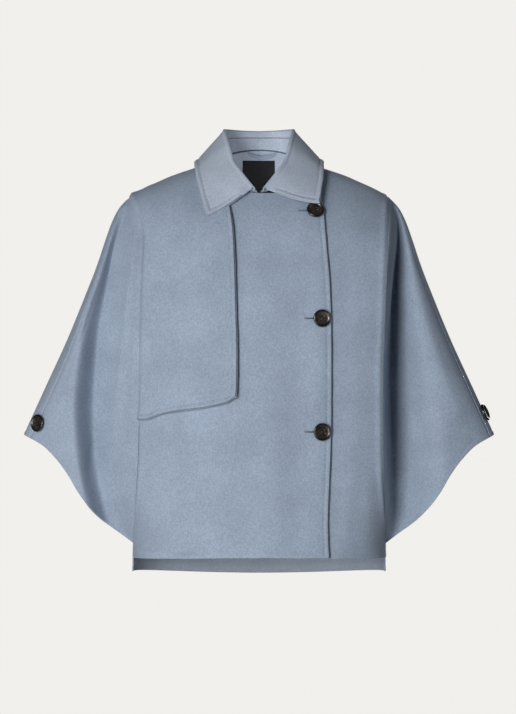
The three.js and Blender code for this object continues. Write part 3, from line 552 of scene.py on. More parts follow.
def stitched(distance, depth=0.45, at=STITCH_IN, width=1.5, full=0.3):
    """A groove pulled in by stitches at a distance from an edge, and the edge beyond it left full."""
    return -depth * np.exp(-((distance - at) / width) ** 2) + full * np.exp(-((distance - 4) / 3) ** 2)


def armhole_roll(distance, high, at, width):
    """The low roll of a seam's turnings, pressed towards the body: a bell beside the seam."""
    return high * np.exp(-((distance - at) / width) ** 2) * np.clip(distance / at, 0, 1)


def unevenness(run, size=0.22):
    """The slight wander of an edge sewn by hand: three waves that never line up."""
    return size * (np.sin(run / 9.1) + 0.7 * np.sin(run / 5.3 + 1) + 0.8 * np.sin(run / 23 + 2))


def body_hem(distance):
    """The shallow groove along the hem of a body panel, 12 mm up."""
    return 0.7 * stitched(distance, 0.3, 12, 3)


print("stitch groove, mm at 4, 8.5 and 13 from an edge:", stitched(np.array([4, 8.5, 13])).round(2))

# %% [markdown]
# ## A body panel
#
# A panel lies between two edges, its upper edge and its hem. Shares across and down give the grid,
# and the upper edge has its own shares, so that the columns stay upright on the body. The grid is
# closer beside its edges, where the stitches, the turnings and the half round need it.

# %% Body panel
SEAM_LINES = (1.2, 3, 5.5, 8.5, 12)
EDGE_LINES = (1.2, 2.6, 4.2, 5.8, 7.2, STITCH_IN, 9.8, 11.4, 13.5, 16)
CELL = 3.2


def panel(face, left, right, top, bottom, wide, long, by_left=SEAM_LINES, by_right=EDGE_LINES):
    """Grid of a body panel, about CELL apart. by_left and by_right give closer columns beside its two
    edges. Each row blends from the upper edge's spacing to even shares, and each point lies at its
    share between the two edges at its own height."""
    across, down = steps(wide, CELL, by_left, by_right), steps(long, CELL, SEAM_LINES, EDGE_LINES)
    top_left, top_right = left(ARMHOLE_TOP), right(ARMHOLE_TOP)
    for _ in range(4):
        top_left, top_right = left(top(top_left)), right(top(top_right))
    x_top = lerp(top_left, top_right, across)
    z_top = top(x_top)
    share_top = (x_top - left(z_top)) / (right(z_top) - left(z_top))
    share_top[0], share_top[-1] = 0, 1
    drop = down[:, None]
    share = lerp(share_top[None], across[None], drop)
    z_low = bottom(lerp(left(ARMHOLE_BOTTOM), right(ARMHOLE_BOTTOM), across))
    z = lerp(z_top[None], z_low[None], drop)
    return body_point(face, lerp(left(z), right(z), share), z)


def seams(grid, face, left=0, right=0):
    """The facing that the shoulder seam and the side seams set on a body panel's border, and no number
    elsewhere. left and right are the coat's side, -1 or 1, where that edge is a seam."""
    set_by_seam = np.full(grid.shape, np.nan)
    shoulder = np.abs(grid[0, :, 0]) >= NECK_HALF
    set_by_seam[0, shoulder] = shoulder_facing(grid[0, shoulder, 0])
    for side, column in ((left, 0), (right, -1)):
        if side:
            set_by_seam[:, column] = seam_facing(face, side, grid[:, column, 2])
    return set_by_seam


def raised(grid, height, outward=1):
    """The grid moved outwards by a height at each point."""
    return grid + facing_of(grid) * outward * np.asarray(height)[..., None]


def from_edges(grid, near=14):
    """A window that is 0 on the panel's border and 1 a little way in, for what must not move a seam,
    then the distances from its left, right, upper and lower edges, measured on the cloth."""
    down = np.linalg.norm(np.diff(grid, axis=0, prepend=grid[:1]), axis=-1).cumsum(0)
    over = np.linalg.norm(np.diff(grid, axis=1, prepend=grid[:, :1]), axis=-1).cumsum(1)
    nearest = np.minimum.reduce([down, down[-1:] - down, over, over[:, -1:] - over])
    t = np.clip(nearest / near, 0, 1)
    return t * t * (3 - 2 * t), over, over[:, -1:] - over, down, down[-1:] - down


print("columns across 300 mm:", len(steps(300, CELL, SEAM_LINES, EDGE_LINES)))

# %% [markdown]
# ## Stitches, and finishing a piece
#
# The edges are picked by hand: small stitches lie on the nap in a row. Each is a bit of thread, so it
# is made as a short tube along a path. The path follows a line of the panel's own grid, a set distance from
# its edge, which keeps the row on the cloth wherever that folds. A curve with a bevel would do, but a
# mesh is made here. A finished piece of cloth then hides the solid that it stands for and is fixed to
# the root.

# %% Stitch helpers
def line_at(grid, distance, at):
    """The points of a grid that lie at a distance from one of its long edges, and the surface's
    direction there, one for each row, read between the two columns on either side."""
    both = np.concatenate([grid, facing_of(grid)], -1)
    order = np.argsort(distance, axis=1)
    near = np.take_along_axis(distance, order, 1)
    both = np.take_along_axis(both, order[..., None], 1)
    line = np.array([[np.interp(at, d, row[:, k]) for k in range(6)] for d, row in zip(near, both)])
    return line[:, :3], unit(line[:, 3:])


def tube(path, radius, sides):
    """Points and faces of a closed-ended tube along a path: rings square to it, a cap on each end."""
    along = unit(np.gradient(path, axis=0))
    helper = np.where(np.abs(along[:, 2:]) > 0.9, (1.0, 0, 0), (0, 0, 1.0))
    first = unit(np.cross(along, helper))
    second = np.cross(along, first)
    angle = np.linspace(0, 2 * np.pi, sides, endpoint=False)[None, :, None]
    rings = path[:, None] + radius * (first[:, None] * np.cos(angle) + second[:, None] * np.sin(angle))
    place = np.arange(len(path) * sides).reshape(len(path), sides)
    after = np.roll(place, -1, axis=1)
    faces = np.stack([place[:-1], after[:-1], after[1:], place[1:]], -1).reshape(-1, 4).tolist()
    return rings.reshape(-1, 3), faces + [place[0, ::-1].tolist(), place[-1].tolist()]


def gather(parts):
    """Several meshes as one: their points in a row, their faces counted on."""
    points, faces, count = [], [], 0
    for p, f in parts:
        points.append(p)
        faces += [[v + count for v in face] for face in f]
        count += len(p)
    return np.concatenate(points), faces


STITCH = {"pitch": 6.0, "length": 2.6, "radius": 0.34, "wander": 0.5, "top": 0.9, "drop": 1.7}


def pick_stitches(name, line, off, outward=1):
    """A row of short stitches along a line on the cloth, no two quite evenly apart. Each is a thread
    that comes up, lies on the nap and goes down again, so its height is a flat arch: its top less the
    fourth power of its place, times the drop."""
    run = np.concatenate([[0], np.linalg.norm(np.diff(line, axis=0), axis=1).cumsum()])
    arc = np.linspace(-1, 1, 5)
    pitch, radius = STITCH["pitch"], STITCH["radius"]
    stitches = []
    for k, middle in enumerate(np.arange(pitch, run[-1] - pitch / 2, pitch)):
        at = middle + STITCH["wander"] * np.sin(2.3 * k) + arc * STITCH["length"] / 2
        place = np.stack([np.interp(at, run, line[:, i]) for i in range(3)], -1)
        up = np.stack([np.interp(at, run, off[:, i]) for i in range(3)], -1) * outward
        height = radius * (STITCH["top"] - STITCH["drop"] * arc ** 4)[:, None]
        stitches.append(tube(place + up * height, radius, 5))
    piece = to_object(name, *gather(stitches), THREAD)
    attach(piece, "root")
    print(name, len(stitches), "stitches")


# %% Finished cloth
def finish_cloth(piece, node_name):
    """Hides the solid that a piece of cloth stands for, fixes the piece to the root, and prints how many
    faces it has."""
    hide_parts(node_name)
    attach(piece, "root")
    print(node_name, len(piece.data.polygons), "faces")


# %% [markdown]
# ## Right front and its storm flap
#
# The right front is the wide one: it runs from the right armhole over the centre to its buttoning
# edge on the left side. The storm flap is a second layer over the chest, sewn in at the shoulder and
# armhole and loose along its free edge and lower edge, where it stands off a few millimetres. Both
# have a line of small pick stitches 8.5 mm inside their edges, which pulls the wool into a shallow
# groove, and their edges are turned in, so they are thicker there.

# %% Right front
FRONT_EDGE = table(
    "up out", (-660, 112), (-600, 111.5), (-554, 109.5), (-437, 113.3), (-374, 115), (-265, 115),
    (-186, 113.3), (-149, 111), (-101, 107), (-54, 103.5), (-29, 99), (-10, 96))
FRONT_EDGE_TOP = -29
FLAP_EDGE = table(
    "up out", (-350, 35.2), (-330, 33.8), (-280, 33), (-206, 34.7), (-106, 38.1), (-45, 44.9), (31, 76))
FLAP_LOWER = table(
    "out up", (30, -345), (36, -346), (51.8, -355), (89, -363), (137, -369), (167, -375.5), (184, -382.1))
FLAP_END = -396
ROLL_EASE = 40
RIGHT_WIDE, FLAP_WIDE, LEFT_WIDE, BACK_WIDE = 318, 152, 186, 206
FRONT_LONG, FLAP_LONG, BACK_LONG = 600, 350, 670
FRONT_CREASES = crease_table(
    (-150, -505, 330, 22, 1.6, -2), (-112, -520, 330, 20, -3.4, 1), (-68, -510, 300, 24, 2.4, 2),
    (8, -400, 520, 30, 1.8, 1), (62, -420, 480, 22, -2.4, -1), (96, -330, 330, 12, 0.8, 0),
    (20, -150, 240, 22, -1.2, -6), (66, -125, 190, 18, 1.2, -10), (-105, -590, 84, 6, -2.2, 88),
    (-20, -592, 90, 6, -0.9, 91), (50, -588, 80, 8, -1.2, 87))


def buttoning_edge(z):
    """x of the right front's free edge."""
    return read(FRONT_EDGE, "up", "out", z)


def right_top(x):
    """The right front's upper edge: as the figure's up to the centre, then under the collar."""
    share = np.clip(x / buttoning_edge(FRONT_EDGE_TOP), 0, 1)
    lap = lerp(NECK_UP["front"], FRONT_EDGE_TOP, share ** 4)
    return np.where(x > 0, lap, upper_edge("front", x))


def right_armhole(z):
    """x of the right armhole and side seam."""
    return -seam_out("front", -1, z)


right_front = panel("front", right_armhole, buttoning_edge, right_top,
                    lambda x: hem_up(FRONT_HEM, x), RIGHT_WIDE, FRONT_LONG)
set_by_seam = seams(right_front, "front", left=-1)
inside, from_seam, to_edge, _, to_hem = from_edges(right_front)
x, z = right_front[..., 0], right_front[..., 2]
height = relief(FRONT_CREASES, x, z) * inside
height += armhole_roll(from_seam, high=1.8, at=6, width=5) * swing((FLAP_END - z) / ROLL_EASE)
height += stitched(to_edge, 0.7, full=0.8) + unevenness(z, 0.22) * np.exp(-to_edge / 14)
height += body_hem(to_hem)
right_front = raised(right_front, height)
piece = wall("front_right_cloth", right_front, "left top", turned_in(to_edge, 1.2), facing=set_by_seam)
finish_cloth(piece, "front_right")
line, off = line_at(right_front, to_edge, STITCH_IN)
pick_stitches("front_edge_stitches", line[12:], off[12:])

# %% Storm flap
LAP_EASE = 25
FLAP_DEEPEST_CREASE = -1.2
FLAP_LIFT = {"edge": 4.4, "edge_fade": 15, "lower": 3.0, "lower_fade": 12, "free_from": -30, "ease": 60}
FLAP_CREASES = crease_table(
    (-174, -130, 230, 11, 3.0, 0), (-146, -140, 230, 14, -1.1, -3), (-88, -150, 230, 26, 1.8, 4),
    (-124, -290, 190, 26, 1.3, -5), (-62, -310, 160, 16, 1.0, 14), (-110, -66, 110, 20, -1.0, -24),
    (-96, -345, 90, 12, 1.0, 80), (-160, -362, 60, 9, 1.8, 78))


def flap_edge(z):
    """x of the flap's free edge."""
    return -read(FLAP_EDGE, "up", "out", z)


flap = panel("front", right_armhole, flap_edge, right_top,
             lambda x: read(FLAP_LOWER, "out", "up", np.abs(x)), FLAP_WIDE, FLAP_LONG)
set_by_seam = seams(flap, "front", left=-1)
inside, from_seam, to_edge, _, to_lower = from_edges(flap)
x, z = flap[..., 0], flap[..., 2]
near_edge = np.minimum(to_edge, to_lower)
below = swing((shoulder_up("front", x) - z) / LAP_EASE)
inwards = swing((x - right_armhole(z)) / LAP_EASE)
height = CLOTH + lerp(SEWN_LAP_GAP, LAP_GAP, np.minimum(below, inwards))
height += np.maximum(relief(FLAP_CREASES, x, z) * inside, FLAP_DEEPEST_CREASE)
height += armhole_roll(from_seam, high=2.2, at=6, width=5)
height += stitched(near_edge, 0.8, full=1.0) + unevenness(z + 0.7 * x, 0.3) * np.exp(-near_edge / 12)
u = FLAP_LIFT
hanging = swing((u["free_from"] - z) / u["ease"]) + 0.3 * swing((-z - 200) / 180)
height += u["edge"] * np.exp(-to_edge / u["edge_fade"]) * hanging
height += u["lower"] * np.exp(-to_lower / u["lower_fade"])
flap = raised(flap, height)
piece = wall("storm_flap_cloth", flap, "left top", turned_in(near_edge, 2.0), facing=set_by_seam)
finish_cloth(piece, "storm_flap")
upright, upright_off = line_at(flap, to_edge, STITCH_IN)
level, level_off = line_at(flap.transpose(1, 0, 2), to_lower.T, STITCH_IN)
shown = to_lower[:, -1] > STITCH_IN
pick_stitches("flap_edge_stitches", upright[shown], upright_off[shown])
shown = to_edge[-1] > STITCH_IN
pick_stitches("flap_lower_stitches", level[shown][2:], -level_off[shown][2:])

# %% [markdown]
# ## Left front
#
# The left front passes under the lap of the right one, 3.8 mm deeper, and comes up again to its side
# seam. What shows of it is the strip from the buttoning edge to the left armhole.

# %% Left front
HIDDEN_EDGE = 24
LAP_FROM = 118
LAP_BLEND = 12
LEFT_CREASES = crease_table(
    (150, -330, 420, 13, 0.9, 1), (140, -520, 160, 12, 0.9, -3),
    (160, -110, 150, 18, 1.1, 8), (136, -160, 170, 12, -0.9, 4), (172, -530, 140, 12, 1.4, 2))


def left_armhole(z):
    """x of the left armhole and side seam."""
    return seam_out("front", 1, z)


left_front = panel("front", lambda z: HIDDEN_EDGE + 0 * z, left_armhole,
                   lambda x: upper_edge("front", x), lambda x: hem_up(FRONT_HEM, x),
                   LEFT_WIDE, FRONT_LONG, (3, 8), SEAM_LINES)
set_by_seam = seams(left_front, "front", right=1)
x, z = left_front[..., 0], left_front[..., 2]
seam = left_armhole(z)
aside = np.clip((seam - x) / (seam - LAP_FROM), 0, 1)
lower = (shoulder_up("front", x) - z) / LAP_EASE
inside, _, to_seam, _, to_hem = from_edges(left_front)
under = swing((LAP_FROM + LAP_BLEND / 2 - x) / LAP_BLEND)
height = -LAYER * aside * swing(lower) + armhole_roll(to_seam, high=2.2, at=7, width=5)
height += lerp(relief(LEFT_CREASES, x, z), np.minimum(relief(FRONT_CREASES, x, z), 0), under) * inside
height += body_hem(to_hem)
left_front = raised(left_front, height)
finish_cloth(wall("front_left_cloth", left_front, "right top", facing=set_by_seam), "front_left")

# %% [markdown]
# ## Back
#
# The back is cut in two halves with a seam down the centre. It hangs from the shoulder blades in
# three long soft rolls, a little deeper towards the hem.

# %% Back halves
BACK_CREASES = {
    1: crease_table(
        (60, -430, 420, 26, 2.2, -3), (112, -400, 360, 24, -2.4, -2), (158, -430, 330, 18, 1.8, 1),
        (30, -250, 260, 20, -1.1, 2), (96, -120, 170, 28, 1.2, -14)),
    -1: crease_table(
        (-52, -450, 380, 22, 1.9, 2), (-98, -380, 400, 28, -2.2, 3), (-150, -450, 300, 20, 2.0, -2),
        (-28, -220, 230, 18, -0.9, -3), (-108, -130, 200, 26, 1.3, 12)),
}
BACK_SEAM = 0.03


def back_armhole(z):
    """x of the left armhole and side seam at the back."""
    return seam_out("back", 1, z)


for side, name in ((-1, "right"), (1, "left")):
    half = panel("back", lambda z: BACK_SEAM + 0 * z, back_armhole,
                 lambda x: upper_edge("back", x), lambda x: hem_up(BACK_HEM, x),
                 BACK_WIDE, BACK_LONG, SEAM_LINES, SEAM_LINES)
    half[..., 0] *= side
    outward = -side
    set_by_seam = seams(half, "back", right=side)
    middle = facing_of(half)[:, 0] * outward
    set_by_seam[:, 0] = unit(middle * (0, 1, 1))
    set_by_seam[0, 0] = set_by_seam[1, 0]
    inside, _, _, _, to_hem = from_edges(half)
    height = relief(BACK_CREASES[side], half[..., 0], half[..., 2]) * inside
    height += body_hem(to_hem)
    half = raised(half, height, outward)
    # The inside of the back takes the paler inner wool, partly painted light where it shows below the front
    # hem and at the neck.
    piece = wall(f"back_{name}_cloth", half, "left right top", outward=outward, facing=set_by_seam)
    finish_cloth(piece, f"back_{name}")

# %% [markdown]
# ## Cape sleeves
#
# Each sleeve is a wide gore that falls from the armhole seam to a point at the cuff. Its front and
# back meet along the arm in a lapped seam, which the back's edge wraps round to the front, and a
# button closes its open end. Across, a gore dips into a valley beside the body, rises to a ridge, and
# turns a quarter circle to the overarm line.

# %% Sleeve sizes
OVERARM = table(
    "down out up deep left right", (0, 213.5, -33, 6, 2, 2), (0.032, 224, -45, 6, 4, 3.5),
    (0.083, 234, -64, 5.5, 6, 5), (0.147, 243, -88, 5, 7.5, 5.6), (0.275, 259, -136, 4, 9.5, 6.3),
    (0.404, 277.5, -184, 3, 11, 7), (0.596, 307, -256, 1, 14, 8), (0.789, 340, -328, -1, 16.5, 9),
    (1, 376, -407, -4, 17, 10))
FOLD_NAMES = "down valley_at valley late ridge_at ridge"
FOLDS = {
    "front_left": table(
        FOLD_NAMES, (0, 0.5, 5.2, 0.5, 0.75, 5), (0.03, 0.55, -13, 0.5, 0.79, -12),
        (0.1, 0.7, -24, 0.6, 0.86, -28), (0.19, 0.73, -30, 0.6, 0.86, -40),
        (0.3, 0.7, -34, 0.6, 0.87, -51), (0.46, 0.66, -35, 0.55, 0.87, -62),
        (0.62, 0.58, -31, 0.5, 0.8, -69), (0.77, 0.49, -26, 0.45, 0.71, -69),
        (0.92, 0.33, -19, 0.4, 0.57, -60), (1, 0.2, -14, 0.4, 0.44, -50)),
    "front_right": table(
        FOLD_NAMES, (0, 0.5, 5.2, 0.5, 0.75, 5), (0.03, 0.52, -10, 0.6, 0.77, -11),
        (0.07, 0.56, -15, 0.75, 0.77, -21), (0.15, 0.45, -19, 0.8, 0.76, -35),
        (0.24, 0.29, -18, 0.75, 0.74, -47), (0.33, 0.19, -16, 0.5, 0.7, -54),
        (0.45, 0.15, -14, 0.2, 0.68, -62), (0.62, 0.14, -13, -0.1, 0.67, -68),
        (0.82, 0.13, -12, -0.1, 0.65, -66), (0.94, 0.1, -5, 0.2, 0.61, -56),
        (1, 0.08, -2, 0.5, 0.58, -50)),
    "back": table(
        FOLD_NAMES, (0, 0.45, 7, 0.5, 0.7, 7.2), (0.03, 0.5, 20, 0.5, 0.77, 19),
        (0.1, 0.45, 32, 0.5, 0.76, 36), (0.25, 0.44, 42, 0.5, 0.78, 54),
        (0.39, 0.42, 46, 0.5, 0.78, 64), (0.62, 0.38, 44, 0.5, 0.77, 74),
        (0.82, 0.34, 36, 0.5, 0.74, 71), (1, 0.28, 24, 0.5, 0.68, 55)),
}
SLEEVE_HEM = table(
    "share up", (0, 0), (0.093, 13), (0.27, 37), (0.4, 61), (0.5, 85), (0.58, 109), (0.68, 133),
    (0.82, 157), (1, 174))
HEM_FADE = 3

print("sleeve point at the left:", OVERARM["out"][-1], OVERARM["up"][-1])

# %% Sleeve formulas
def wing(side):
    """The name of a side as seen from the front."""
    return "left" if side < 0 else "right"


def sleeve_place(face, side, down, share):
    """x and z at a share of the way from the armhole seam to the overarm line, with the hem's curve
    let in more and more towards the bottom, as the cube of down."""
    seam_z = lerp(ARMHOLE_TOP, ARMHOLE_BOTTOM, down)
    x = lerp(seam_out(face, side, seam_z) + SEAM_GAP, read(OVERARM, "down", "out", down), share)
    curve = read(SLEEVE_HEM, "share", "up", share) - share * SLEEVE_HEM["up"][-1]
    return side * x, lerp(seam_z, read(OVERARM, "down", "up", down), share) + curve * down ** HEM_FADE


def sleeve_point(face, side, down, stretch, t):
    """A point of a gore. Depth drops from the seam to the valley as a quarter wave that is early,
    late or between them, swings in half a cosine to the ridge, then follows a quarter of an ellipse
    to the overarm line."""
    down, t = np.broadcast_arrays(down, t)
    rows = FOLDS["back" if face == "back" else "front_" + wing(side)]
    valley_at, valley, late, ridge_at, ridge = (read(rows, "down", n, down)
                                                for n in FOLD_NAMES.split()[1:])
    if stretch == "valley":
        seam_z = lerp(ARMHOLE_TOP, ARMHOLE_BOTTOM, down)
        seam_y = body_point(face, side * seam_out(face, side, seam_z), seam_z)[..., 1]
        drop = lerp(np.sin(t * np.pi / 2), 1 - np.cos(t * np.pi / 2), late)
        share, deep = valley_at * t, lerp(seam_y, valley, drop)
    elif stretch == "ridge":
        share, deep = lerp(valley_at, ridge_at, t), lerp(valley, ridge, swing(t))
    else:
        share = lerp(ridge_at, 1, np.sin(t * np.pi / 2))
        deep = lerp(read(OVERARM, "down", "deep", down), ridge, np.cos(t * np.pi / 2))
    x, z = sleeve_place(face, side, down, share)
    flat = SHOULDER_PLANE + (-1 if face == "front" else 1) * SEAM_GAP / 2
    return np.stack([x, np.where(down == 0, flat, deep), z], -1)


def lap_turn(side, down):
    """How far round the front quarter turn the lapped seam lies, from the lap's width."""
    rows = FOLDS["front_" + wing(side)]
    x0, z0 = sleeve_place("front", side, down, read(rows, "down", "ridge_at", down))
    x1, z1 = sleeve_place("front", side, down, 1.0 + 0 * down)
    lap = read(OVERARM, "down", wing(side), down)
    return np.arcsin(np.clip(1 - lap / np.hypot(x1 - x0, z1 - z0), 0.1, 0.95)) * 2 / np.pi


def lap_facing(side, down):
    """Which way the cloth's edge faces along the lapped seam: the front gore's own normal there."""
    step = 0.01
    down = np.clip(down, 0.02, 0.98)
    turn = lap_turn(side, down)
    over = sleeve_point("front", side, down, "over", turn + step)
    over -= sleeve_point("front", side, down, "over", turn - step)
    along = sleeve_point("front", side, down + step, "over", turn)
    along -= sleeve_point("front", side, down - step, "over", turn)
    return unit(np.cross(over, along)) * -side


print("shares of the quarter turn that the lap takes:", lap_turn(1, np.array([0.1, 0.5, 0.9])).round(2))

# %% [markdown]
# ## The four gores
#
# The gores are built from those stretches side by side. The extra creases on them are set in shares
# down and across, so that they follow the fall of the sleeve.

# %% Sleeves
OVERARM_FACING = 0.4
CLOSER_ON_TOP = 1.12
SLEEVE_LONG, VALLEY_WIDE = 600, 70
GORE_COLUMNS = {"ridge": 26, "front_over": 20, "back_over": 18, "lap": 8}
HEM_EASE = 4
HEM_WANDER = 18
SLEEVE_CREASES = {
    ("front", -1): crease_table(
        (0.30, 0.55, 0.7, 0.045, 1.6, 0), (0.18, 0.45, 0.6, 0.04, -1.2, 0),
        (0.93, 0.6, 0.5, 0.03, -1.2, 0), (0.45, 0.75, 0.4, 0.05, -1.6, 0)),
    ("front", 1): crease_table(
        (0.22, 0.7, 0.5, 0.05, -1.8, 0), (0.38, 0.5, 0.6, 0.05, 1.5, 0),
        (0.84, 0.65, 0.5, 0.04, 1.2, 0), (0.55, 0.82, 0.3, 0.05, -1.3, 0)),
    ("back", -1): crease_table(
        (0.25, 0.6, 0.6, 0.05, 2.0, 0), (0.42, 0.5, 0.7, 0.05, -2.0, 0),
        (0.62, 0.7, 0.4, 0.06, 1.6, 0)),
    ("back", 1): crease_table(
        (0.2, 0.65, 0.5, 0.04, 1.8, 0), (0.38, 0.55, 0.65, 0.055, -2.2, 0),
        (0.58, 0.66, 0.45, 0.05, 1.5, 0)),
}


def gore(face, side):
    """Grid of a sleeve's front or back: the stretches next to each other, sharing their end columns."""
    down = (steps(SLEEVE_LONG, CELL, SEAM_LINES, EDGE_LINES) ** CLOSER_ON_TOP)[:, None]
    turn = lap_turn(side, down)
    valley = sleeve_point(face, side, down, "valley", steps(VALLEY_WIDE, CELL, SEAM_LINES)[None, :-1])
    shares = {name: np.linspace(0, 1, count)[None] for name, count in GORE_COLUMNS.items()}
    ridge = sleeve_point(face, side, down, "ridge", shares["ridge"][:, :-1])
    if face == "front":
        over = sleeve_point(face, side, down, "over", turn * shares["front_over"])
        return down[:, 0], np.concatenate([valley, ridge, over], 1)
    over = sleeve_point(face, side, down, "over", shares["back_over"])
    lap = sleeve_point("front", side, down, "over", lerp(1, turn, shares["lap"][:, 1:]))
    lap[:, -1, 0] += side * OVERARM_GAP
    lap[0, :, 1] = SHOULDER_PLANE + SEAM_GAP / 2
    return down[:, 0], np.concatenate([valley, ridge, over, lap], 1)


for side, name in ((-1, "right"), (1, "left")):
    for face in ("front", "back"):
        down, grid = gore(face, side)
        outward = (1 if face == "front" else -1) * side
        set_by_seam = np.full(grid.shape, np.nan)
        set_by_seam[:, 0] = seam_facing(face, side, lerp(ARMHOLE_TOP, ARMHOLE_BOTTOM, down))
        set_by_seam[:, -1] = lap_facing(side, down)
        set_by_seam[0] = (side * OVERARM_FACING, 0, np.sqrt(1 - OVERARM_FACING ** 2))
        inside, over, _, _, to_hem = from_edges(grid)
        share = over / over[:, -1:]
        height = relief(SLEEVE_CREASES[(face, side)], share, down[:, None] + 0 * share) * inside
        height += stitched(to_hem, 0.35) * np.clip(down[:, None] * HEM_EASE, 0, 1)
        height += unevenness(over, 0.3) * np.exp(-to_hem / HEM_WANDER) * inside
        grid = raised(grid, height, outward)
        piece = wall(f"sleeve_{face}_{name}_cloth", grid, "left right top", outward=outward,
                     facing=set_by_seam)
        finish_cloth(piece, f"sleeve_{face}_{name}")

# %% [markdown]
# ## Collar
#
# A coat collar has two parts: a stand that rises from the neck seam inside, and a fall that rolls
# over it and lies on the shoulders with pointed wings in front. A section through it is a straight
# stand, a half round roll and a slightly bowed fall, and it changes from the front ends over the
# shoulders to the back. turn is 0 at the centre front, 0.5 at the shoulder and 1 at the back.

# %% Collar sizes and section
COLLAR = table(
    "turn roll_out roll_deep roll_up left_out left_deep left_up right_out right_deep right_up",
    (0.03, 9, -89, -15, 81, -103, -62, 95.2, -93, -42),
    (0.12, 27, -80, 8, 87.5, -91, -42, 97.5, -81, -27),
    (0.25, 42, -60, 31, 96, -70, -10, 100.5, -61, -5), (0.375, 50, -36, 60, 101, -36, 18, 102, -32, 17),
    (0.5, 55, -4, 79, 101, 6, 27, 101.5, 6, 27), (0.625, 55, 23, 83, 97, 38, 22, 97, 38, 22),
    (0.75, 44, 49, 83.5, 80, 68, 14, 80, 68, 14), (0.875, 25, 66, 83, 44, 90, 11, 44, 90, 11),
    (1, 0, 72, 82.5, 0, 100, 10, 0, 100, 10))
ROLL_RADIUS = 3.4
STAND_SHARE = 0.72
FALL_BOW = 2
STAND_REACH = 0.992
FALL_REACH = 0.97
STRAIGHT_BACK = 0.94
WING_SAG = {"low": 4.5, "ahead": 2.4, "fade": 0.3}
END_STITCHES = 62
COLLAR_LIFT = {"edge": 3.2, "fade": 12}
COLLAR_LONG, STAND_HIGH, LEAF_WIDE = 560, 28, 84
STRETCH_ROWS, ROLL_ROWS = 4, 9
COLLAR_LINES = (1.2, 2.6, 4.2, 5.8, 7.4, 9, 10.6, 12.4, 14.5, 17)
COLLAR_CREASES = crease_table(
    (-82, 20, 80, 12, 0.8, -35), (72, 30, 70, 10, -0.7, 30), (-60, -20, 60, 10, -0.6, 60),
    (30, 40, 90, 16, 0.8, 0), (-40, 45, 90, 14, 0.7, 0))


def collar_section(along):
    """Foot, seam, roll and outer edge of the collar at each place along it, from near -1 at the right
    front end over the back, 0, to near 1 at the left."""
    side = np.where(along < 0, -1, 1)
    turn = 1 - np.abs(along)
    x = side * NECK_HALF * np.sin(turn * np.pi)
    points = {face: body_point(face, x, upper_edge(face, x)) for face in ("front", "back")}
    foot = np.where((turn < 0.5)[:, None], points["front"], points["back"]) + (0, 0, NECK_GAP)

    def corner(left, right):
        out, deep, up = (np.where(side < 0, read(COLLAR, "turn", left + n, turn),
                                  read(COLLAR, "turn", right + n, turn)) for n in ("_out", "_deep", "_up"))
        return np.stack([side * out, deep, up], -1)

    roll, edge = corner("roll", "roll"), corner("left", "right")
    out = unit((edge - roll) * (1, 1, 0))
    out = np.where((turn > STRAIGHT_BACK)[:, None], np.array([0.0, 1.0, 0.0]), out)
    radius = np.minimum(ROLL_RADIUS, (roll - foot)[:, 2] * 0.5)[:, None]
    centre = roll - radius * (0, 0, 1)
    inside = centre - out * radius
    seam = lerp(foot, inside, STAND_SHARE)
    rise = unit(inside - foot)
    facing = -unit(out - rise * (out * rise).sum(-1, keepdims=True))
    return foot, seam, inside, centre, out, radius, edge, rise, facing


print("collar's outer edge at the back:", collar_section(np.zeros(1))[6][0].round(1))

# %% Collar pieces
def along_collar(reach, cell, ends):
    """Places along the collar, closer together by its front ends."""
    return lerp(-reach, reach, steps(COLLAR_LONG, cell, ends, ends))


along = along_collar(STAND_REACH, 2.6, (1.2, 3, 6))
foot, seam, *_, rise, facing = collar_section(along)
down = steps(STAND_HIGH, 2.2, (1.2,), (1.2,))[:, None, None]
stand = lerp((seam - rise * STAND_GAP)[None], foot[None], down)
# The collar shows the paler inner wool outside, and its paleness is partly painted light.
piece = wall("collar_stand_cloth", stand, "top bottom", facing=np.broadcast_to(facing, stand.shape),
             material=INNER_WOOL_PARTLY_PAINTED_LIGHT, inner=WOOL)
finish_cloth(piece, "collar_stand")

along = along_collar(FALL_REACH, 2.6, COLLAR_LINES)
_, seam, inside, centre, out, radius, edge, _, facing = collar_section(along)
stretch = lerp(seam[None], inside[None], np.linspace(0, 1, STRETCH_ROWS)[:-1, None, None])
angle = np.linspace(0, np.pi, ROLL_ROWS)[:-1, None, None]
roll = centre - out * radius * np.cos(angle) + radius * np.sin(angle) * (0, 0, 1)
t = steps(LEAF_WIDE, 2.8, (), EDGE_LINES)[:, None, None]
leaf = lerp((centre + out * radius)[None], edge[None], t) + out * FALL_BOW * np.sin(np.pi * t)
front = swing(1 - (1 - np.abs(along)) / WING_SAG["fade"])[None, :, None] * np.sin(np.pi * t)
leaf -= front * (0, WING_SAG["ahead"], WING_SAG["low"])
fall = np.concatenate([stretch, roll, leaf])
set_by_seam = np.full(fall.shape, np.nan)
set_by_seam[0] = facing
_, to_right, to_left, _, to_edge = from_edges(fall)
off_leaf = STRETCH_ROWS + ROLL_ROWS - 2
on_leaf = np.concatenate([np.zeros(off_leaf), np.clip(t[:, 0, 0] * 5, 0, 1)])[:, None]
to_end = np.minimum(to_right, to_left)
near_edge = np.minimum(to_end, to_edge)
height = relief(COLLAR_CREASES, fall[..., 0], fall[..., 2])
height += stitched(near_edge, 0.9, full=1.0) + COLLAR_LIFT["edge"] * np.exp(-to_edge / COLLAR_LIFT["fade"])
height += unevenness(to_right + to_edge, 0.35) * np.exp(-near_edge / 12)
fall = raised(fall, height * on_leaf, -1)
